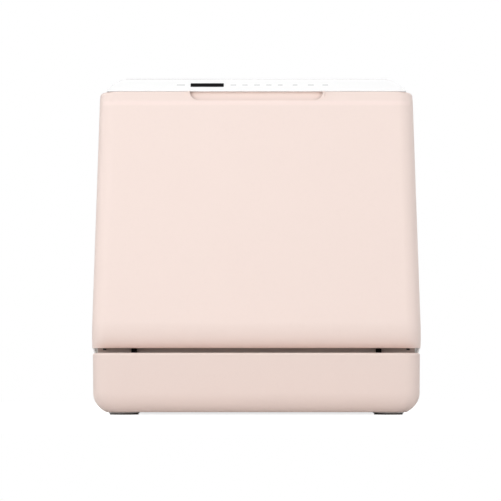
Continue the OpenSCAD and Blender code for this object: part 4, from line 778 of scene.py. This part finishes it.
def buildStrip():
    # The side view carried along X, cut to the wrapper's outline and to a plan with round front corners
    s = topShape
    r = s["cornerRound"]
    w = float(halfWidth(s["lowZ"])) + past
    turn = np.radians(np.linspace(-90, 0, s["cornerSteps"]))
    corner = np.column_stack([w - r + r * np.cos(turn), s["noseY"] + r + r * np.sin(turn)])
    plan = mirroredOutline(np.concatenate([corner, [[w, s["joint"] + past]]]))
    skin = coated(prism("stripSkin", stripSide(), -s["stripHalf"], s["stripHalf"], "X"), "white_fascia")
    (x, y), gap, deep = s["displayHalf"], s["displayGap"], s["displayDeep"]
    opening = softCorner((-x, -y), (x, y), s["displayRound"])
    pocket = onSlope(prism("displayPocket", opening, -deep, 20 * past, "Z"))
    inside = prism("insideArch", mirroredOutline(archHalf(s["stripWall"], 0.0)), *s["insideY"])
    hollow = carved(prism("hollow", stripHollow(), -s["cheek"], s["cheek"], "X"), keeps=[inside])
    shoulders = prism("shoulders", mirroredOutline(archHalf(0.0, 0.0)), *s["shouldersY"])
    carved(skin, [hollow, pocket], keeps=[shoulders, prism("plan", plan, *s["planZ"], "Z")])
    finished(skin, sharp=28)
    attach(skin, "cabinet")
    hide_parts("control_fascia")
    pane = softCorner((gap - x, gap - y), (x - gap, y - gap), s["displayRound"])
    glass = coated(onSlope(prism("displayGlass", pane, -deep, 0.0, "Z")), "black_window")
    softened(glass, s["displaySoft"], segments=2)
    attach(glass, "cabinet")
    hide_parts("display_window")


def buildShell():
    # Outer and inner lofts of the wrapper along Y, their rims joined, then the strip's bay and the
    # filler cap's hole cut. The section's share of the back arch is a smoothstep along Y
    s = topShape
    y = np.concatenate([[s["frontY"]], np.linspace(s["joint"], s["backY"], s["lengthSteps"])])
    share = np.clip((y - s["joint"]) / (s["backY"] - s["joint"]), 0, 1)
    share = share * share * (3 - 2 * share)
    sides = []
    for t in (0.0, s["wall"]):
        rows = [mirroredOutline(archHalf(t, u)) for u in share]
        sides.append(np.array([np.column_stack([row[:, 0], np.full(len(row), place), row[:, 1]])
                               for row, place in zip(rows, y)]))
    rows, columns = sides[0].shape[:2]
    count = rows * columns
    faces = gridFaces(rows, columns) + [q[::-1] for q in gridFaces(rows, columns, count)]
    across = np.arange(columns - 1)
    down = np.arange(rows - 1) * columns
    rims = [(across, 1), (across + count - columns, 1), (down, columns), (down + columns - 1, columns)]
    for a, step in rims:
        faces += np.stack([a, a + step, a + step + count, a + count], axis=1).tolist()
    skin = newPiece("shellSkin", np.concatenate(sides), faces, "white_shell")
    outward(skin)
    turn = np.linspace(0, 2 * math.pi, s["capSteps"], endpoint=False)
    r = s["capHole"]
    hole = np.column_stack([s["capX"] + r * np.cos(turn), s["capY"] + r * np.sin(turn)])
    bay = block("stripBay", (-s["bayHalf"], s["bayY"], s["lowZ"] - s["seat"]),
                (s["bayHalf"], s["joint"] + s["seat"], s["bayZ"]))
    carved(skin, [bay, prism("capHole", hole, *s["holeZ"], "Z")])
    finished(skin)
    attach(skin, "cabinet")
    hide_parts("outer_shell")


rackShape = {
    "x": 0.148, "y0": -0.1444, "y1": 0.1256, "z0": 0.168, "z1": 0.250, "lowRimZ": 0.172, "rim": 0.002,
    "wire": 0.0016, "sides": 10, "sideCount": 9, "frontCount": 10, "bend": 0.009, "corner": 0.014,
    "cornerSteps": 8, "wireUp": 0.001, "tineHigh": 0.058, "tineRows": (-0.008, 0.034, 0.076),
    "tinePitch": 0.026, "tineY": (0.020, 0.014), "axles": (-0.0094, 0.1176), "axleZ": 0.190, "axle": 0.002,
    "axleIn": 0.001, "axleEnd": 0.165, "axleSides": 20, "plateHalf": 0.007, "plateIn": 0.002,
    "plateOut": 0.0005, "plateSoft": 0.0008,
}


def tube(path, radius, flat, sides=10, closed=False, dome=4):
    # A circle carried along a path that lies in the plane across "flat": centre plus radius times
    # (flat cos, tangent x flat sin). Open ends close in half a sphere of "dome" rings and a pole
    path = np.asarray(path, float)
    if closed:
        tangent = np.roll(path, -1, axis=0) - np.roll(path, 1, axis=0)
        path, tangent = np.concatenate([path, path[:1]]), np.concatenate([tangent, tangent[:1]])
        scale = np.ones(len(path))
    else:
        tangent = np.gradient(path, axis=0)
        a = np.radians(np.linspace(0, 90, dome + 1))
        first, last = tangent[0] / np.linalg.norm(tangent[0]), tangent[-1] / np.linalg.norm(tangent[-1])
        head = path[0] + first * radius - np.outer(np.cos(a), first) * radius
        tail = path[-1] - last * radius + np.outer(np.cos(a[::-1]), last) * radius
        scale = np.concatenate([np.sin(a), np.ones(len(path) - 2), np.sin(a[::-1])])
        tangent = np.concatenate([np.tile(first, (dome + 1, 1)), tangent[1:-1], np.tile(last, (dome + 1, 1))])
        path = np.concatenate([head, path[1:-1], tail])
    tangent /= np.linalg.norm(tangent, axis=1, keepdims=True)
    flat = np.asarray(flat, float)
    across = np.cross(tangent, flat)
    turn = np.linspace(0, 2 * math.pi, sides, endpoint=False)[None, :, None]
    ring = (flat * np.cos(turn) + across[:, None] * np.sin(turn)) * (radius * scale)[:, None, None]
    points = path[:, None] + ring
    return points.reshape(-1, 3), gridFaces(len(path), sides, closed=True)


def joined(name, parts, finish):
    # Several surfaces as one mesh, each list of faces shifted past the points before it
    counts = [len(points) for points, faces in parts]
    starts = np.cumsum([0, *counts[:-1]])
    faces = [(np.asarray(those) + start).tolist() for (points, those), start in zip(parts, starts)]
    piece = newPiece(name, np.concatenate([points for points, those in parts]), sum(faces, []), finish)
    outward(piece)
    return piece


def buildRack():
    # Three rims, U-shaped hoops inside them both ways, rows of tines, an axle and a plate at each wheel
    s = rackShape
    rim, wire, sides, bend = s["rim"], s["wire"], s["sides"], s["bend"]
    x1, y0, y1, z0, z1 = s["x"], s["y0"], s["y1"], s["z0"], s["z1"]
    parts = []
    for z in (s["lowRimZ"], (z0 + z1) / 2, z1):
        corners = [(-x1, y0, z), (x1, y0, z), (x1, y1, z), (-x1, y1, z)]
        loop = roundedPath(corners, s["corner"], s["cornerSteps"], closed=True)
        parts.append(tube(loop, rim, (0, 0, 1), sides, closed=True))
    inner, topZ = rim + wire, z1 + s["wireUp"]
    xIn, y0In, y1In = x1 - inner, y0 + inner, y1 - inner
    for y in np.linspace(y0, y1, s["sideCount"] + 1)[1:-1]:
        hoop = [(-xIn, y, topZ), (-xIn, y, z0), (xIn, y, z0), (xIn, y, topZ)]
        parts.append(tube(roundedPath(hoop, bend), wire, (0, 1, 0), sides))
    for x in np.linspace(-x1, x1, s["frontCount"] + 1)[1:-1]:
        hoop = [(x, y0In, topZ), (x, y0In, z0), (x, y1In, z0), (x, y1In, topZ)]
        parts.append(tube(roundedPath(hoop, bend), wire, (1, 0, 0), sides))
    baseZ = z0 + 2 * wire
    begin, end = s["tineY"]
    for x in s["tineRows"]:
        parts.append(tube([(x, y0In, baseZ), (x, y1In, baseZ)], wire, (1, 0, 0), sides))
        for y in np.arange(y0 + begin, y1 - end + 1e-6, s["tinePitch"]):
            parts.append(tube([(x, y, baseZ), (x, y, z0 + s["tineHigh"])], wire, (1, 0, 0), sides))
    wheels = [(side, y) for side in (-1, 1) for y in s["axles"]]
    for side, y in wheels:
        ends = [(side * (x1 - s["axleIn"]), y, s["axleZ"]), (side * s["axleEnd"], y, s["axleZ"])]
        parts.append(tube(ends, s["axle"], (0, 1, 0), s["axleSides"], dome=3))
    rack = joined("rackWires", parts, "rack_coat")
    finished(rack, sharp=40)
    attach(rack, "rack")
    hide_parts(*frame["record"]["behaviour"]["bodies"]["rack"])
    for (side, y), letter in zip(wheels, "ABCD"):
        low, high = sorted((side * x1, side * (x1 - s["plateIn"])))
        plate = block("axlePlate" + letter, (low, y - s["plateHalf"], z0),
                      (high + s["plateOut"], y + s["plateHalf"], s["axleZ"] + s["plateHalf"]))
        softened(coated(plate, "rack_coat"), s["plateSoft"])
        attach(plate, "rack")


buildDoorSkin()
buildPlinthSkin()
buildGapPieces()
print("pink skins ready")
buildStrip()
buildShell()
print("white skins ready")
buildRack()
print("rack ready")


studio = {
    "floorHalf": 9.0, "floorTone": 0.88, "floorLift": 0.80, "fade": (0.45, 1.1),
    "fibre": (0.98, 0.98, 0.97), "fibreScale": 30.0, "fibreTone": 0.2,
    "ambient": 0.26, "horizonTone": 0.92, "skyTone": 1.22, "skyFrom": (0.38, 0.56),
    "cardTone": 0.30, "cardLow": (0.07, 0.13), "cardHigh": (0.28, 0.45), "cardBack": (0.3, 0.7),
    "camera": (-0.0075, -3.2175, 0.060), "tilt": 2.83, "lens": 170.52, "sensor": 36.0,
    "lamps": [  # name, place, looks at, width and height, watts
        ("keyLamp", (-1.5, -3.2, 0.75), (0.0, 0.0, 0.2), (3.0, 1.4), 26.0),
        ("frontLamp", (0.3, -3.4, 0.5), (0.0, 0.0, 0.2), (2.4, 0.9), 8.5),
        ("fillLamp", (2.4, -2.2, 0.9), (0.0, 0.0, 0.2), (2.0, 1.6), 8.5),
        ("leftLamp", (-2.9, -0.7, 1.2), (0.0, 0.0, 0.2), (2.4, 2.2), 16.5),
        ("rightLamp", (2.9, 0.2, 1.1), (0.0, 0.0, 0.2), (2.2, 2.0), 6.5),
        ("topLamp", (-0.2, 0.3, 2.6), (0.0, 0.0, 0.4), (2.6, 2.6), 19.5),
        ("browLamp", (0.0, -2.65, 2.18), (0.0, -0.2, 0.4), (2.6, 1.2), 20.0),
        ("backLamp", (1.3, 2.8, 0.9), (0.0, 0.0, 0.2), (3.0, 1.6), 10.0),
    ],
}


def buildFloor():
    # Pale paper that keeps the machine's shadow, a little lifted for the camera, plain white far away
    half, tone, white = studio["floorHalf"], studio["floorTone"], (1.0, 1.0, 1.0, 1.0)
    corners = np.array([[-1, -1, 0], [1, -1, 0], [1, 1, 0], [-1, 1, 0]], float) * half
    floor = newPiece("studioFloor", corners, [(0, 1, 2, 3)])
    made = Finish("floorPaper", {"Roughness": 0.9, "Specular_IOR_Level": 0.1})
    fibre = made.noise(studio["fibreScale"], detail=3.0) * studio["fibreTone"]
    fleck = (*[tone * share for share in studio["fibre"]], 1.0)
    made.set(Base_Color=made.blend(fibre, (tone, tone, tone, 1.0), fleck))
    x, y, z = made.axes()
    rays = made.node("ShaderNodeLightPath", output="Is Camera Ray")
    away = made.smooth((x * x + y * y).root(), *studio["fade"]) * rays
    dark = made.node("ShaderNodeEmission", {}, {"Strength": 0.0})
    glow = made.node("ShaderNodeEmission", {}, {"Color": white, "Strength": studio["floorLift"]})
    plain = made.node("ShaderNodeEmission", {}, {"Color": white, "Strength": 1.0})
    lift = made.node("ShaderNodeMixShader", {}, {0: rays, 1: dark, 2: glow})
    both = made.node("ShaderNodeAddShader", {}, {0: Wire(made, made.shader.outputs[0]), 1: lift})
    seen = made.node("ShaderNodeMixShader", {}, {0: away, 1: both, 2: plain})
    made.feed(made.output.inputs[0], seen)
    floor.data.materials.append(made.material)


def buildWorld():
    # White to the camera, an even light on surfaces, and in reflections a pale room, lighter above, with
    # one grey card standing across the back, which draws the outline of pale glossy edges
    world = bpy.data.worlds.new("studioWorld")
    bpy.context.scene.world = world
    world.use_nodes = True
    made = Graph(world.node_tree)
    rays = {name: made.node("ShaderNodeLightPath", output=f"Is {name} Ray")
            for name in ("Camera", "Glossy", "Transmission")}
    x, y, z = made.axes(made.node("ShaderNodeTexCoord", output="Generated"))
    low, high, back = [made.smooth(axis, *studio[key])
                       for axis, key in ((z, "cardLow"), (z, "cardHigh"), (y, "cardBack"))]
    above = made.smooth(z, *studio["skyFrom"])
    room = above * (studio["skyTone"] - studio["horizonTone"]) + studio["horizonTone"]
    sky = room - low * (1 - high) * back * (1 - studio["cardTone"])
    plain, mirrored, seen = [
        made.node("ShaderNodeBackground", {}, {"Color": (1.0, 1.0, 1.0, 1.0), "Strength": strength})
        for strength in (studio["ambient"], sky, 1.0)]
    direct = rays["Camera"].most(rays["Transmission"])
    inner = made.node("ShaderNodeMixShader", {}, {0: rays["Glossy"], 1: plain, 2: mirrored})
    outer = made.node("ShaderNodeMixShader", {}, {0: direct, 1: inner, 2: seen})
    made.add("ShaderNodeOutputWorld", {}, {0: outer})


def aimed(place, target):
    # The turn that points a lamp's -Z from its place to the target
    return (Vector(target) - Vector(place)).to_track_quat("-Z", "Y").to_euler()


def buildLamps():
    for name, place, target, size, watts in studio["lamps"]:
        lamp = bpy.data.lights.new(name, "AREA")
        lamp.shape = "RECTANGLE"
        lamp.size, lamp.size_y = size
        lamp.energy = watts
        holder = bpy.data.objects.new(name, lamp)
        holder.location = place
        holder.rotation_euler = aimed(place, target)
        bpy.context.scene.collection.objects.link(holder)


def buildCamera():
    data = bpy.data.cameras.new("studioCamera")
    data.lens = studio["lens"]
    data.sensor_width = studio["sensor"]
    camera = bpy.data.objects.new("studioCamera", data)
    camera.location = studio["camera"]
    camera.rotation_euler = (math.radians(90 + studio["tilt"]), 0, 0)
    bpy.context.scene.collection.objects.link(camera)
    bpy.context.scene.camera = camera


buildFloor()
buildWorld()
buildLamps()
buildCamera()
bpy.context.scene.view_settings.view_transform = "Standard"
print("studio ready")
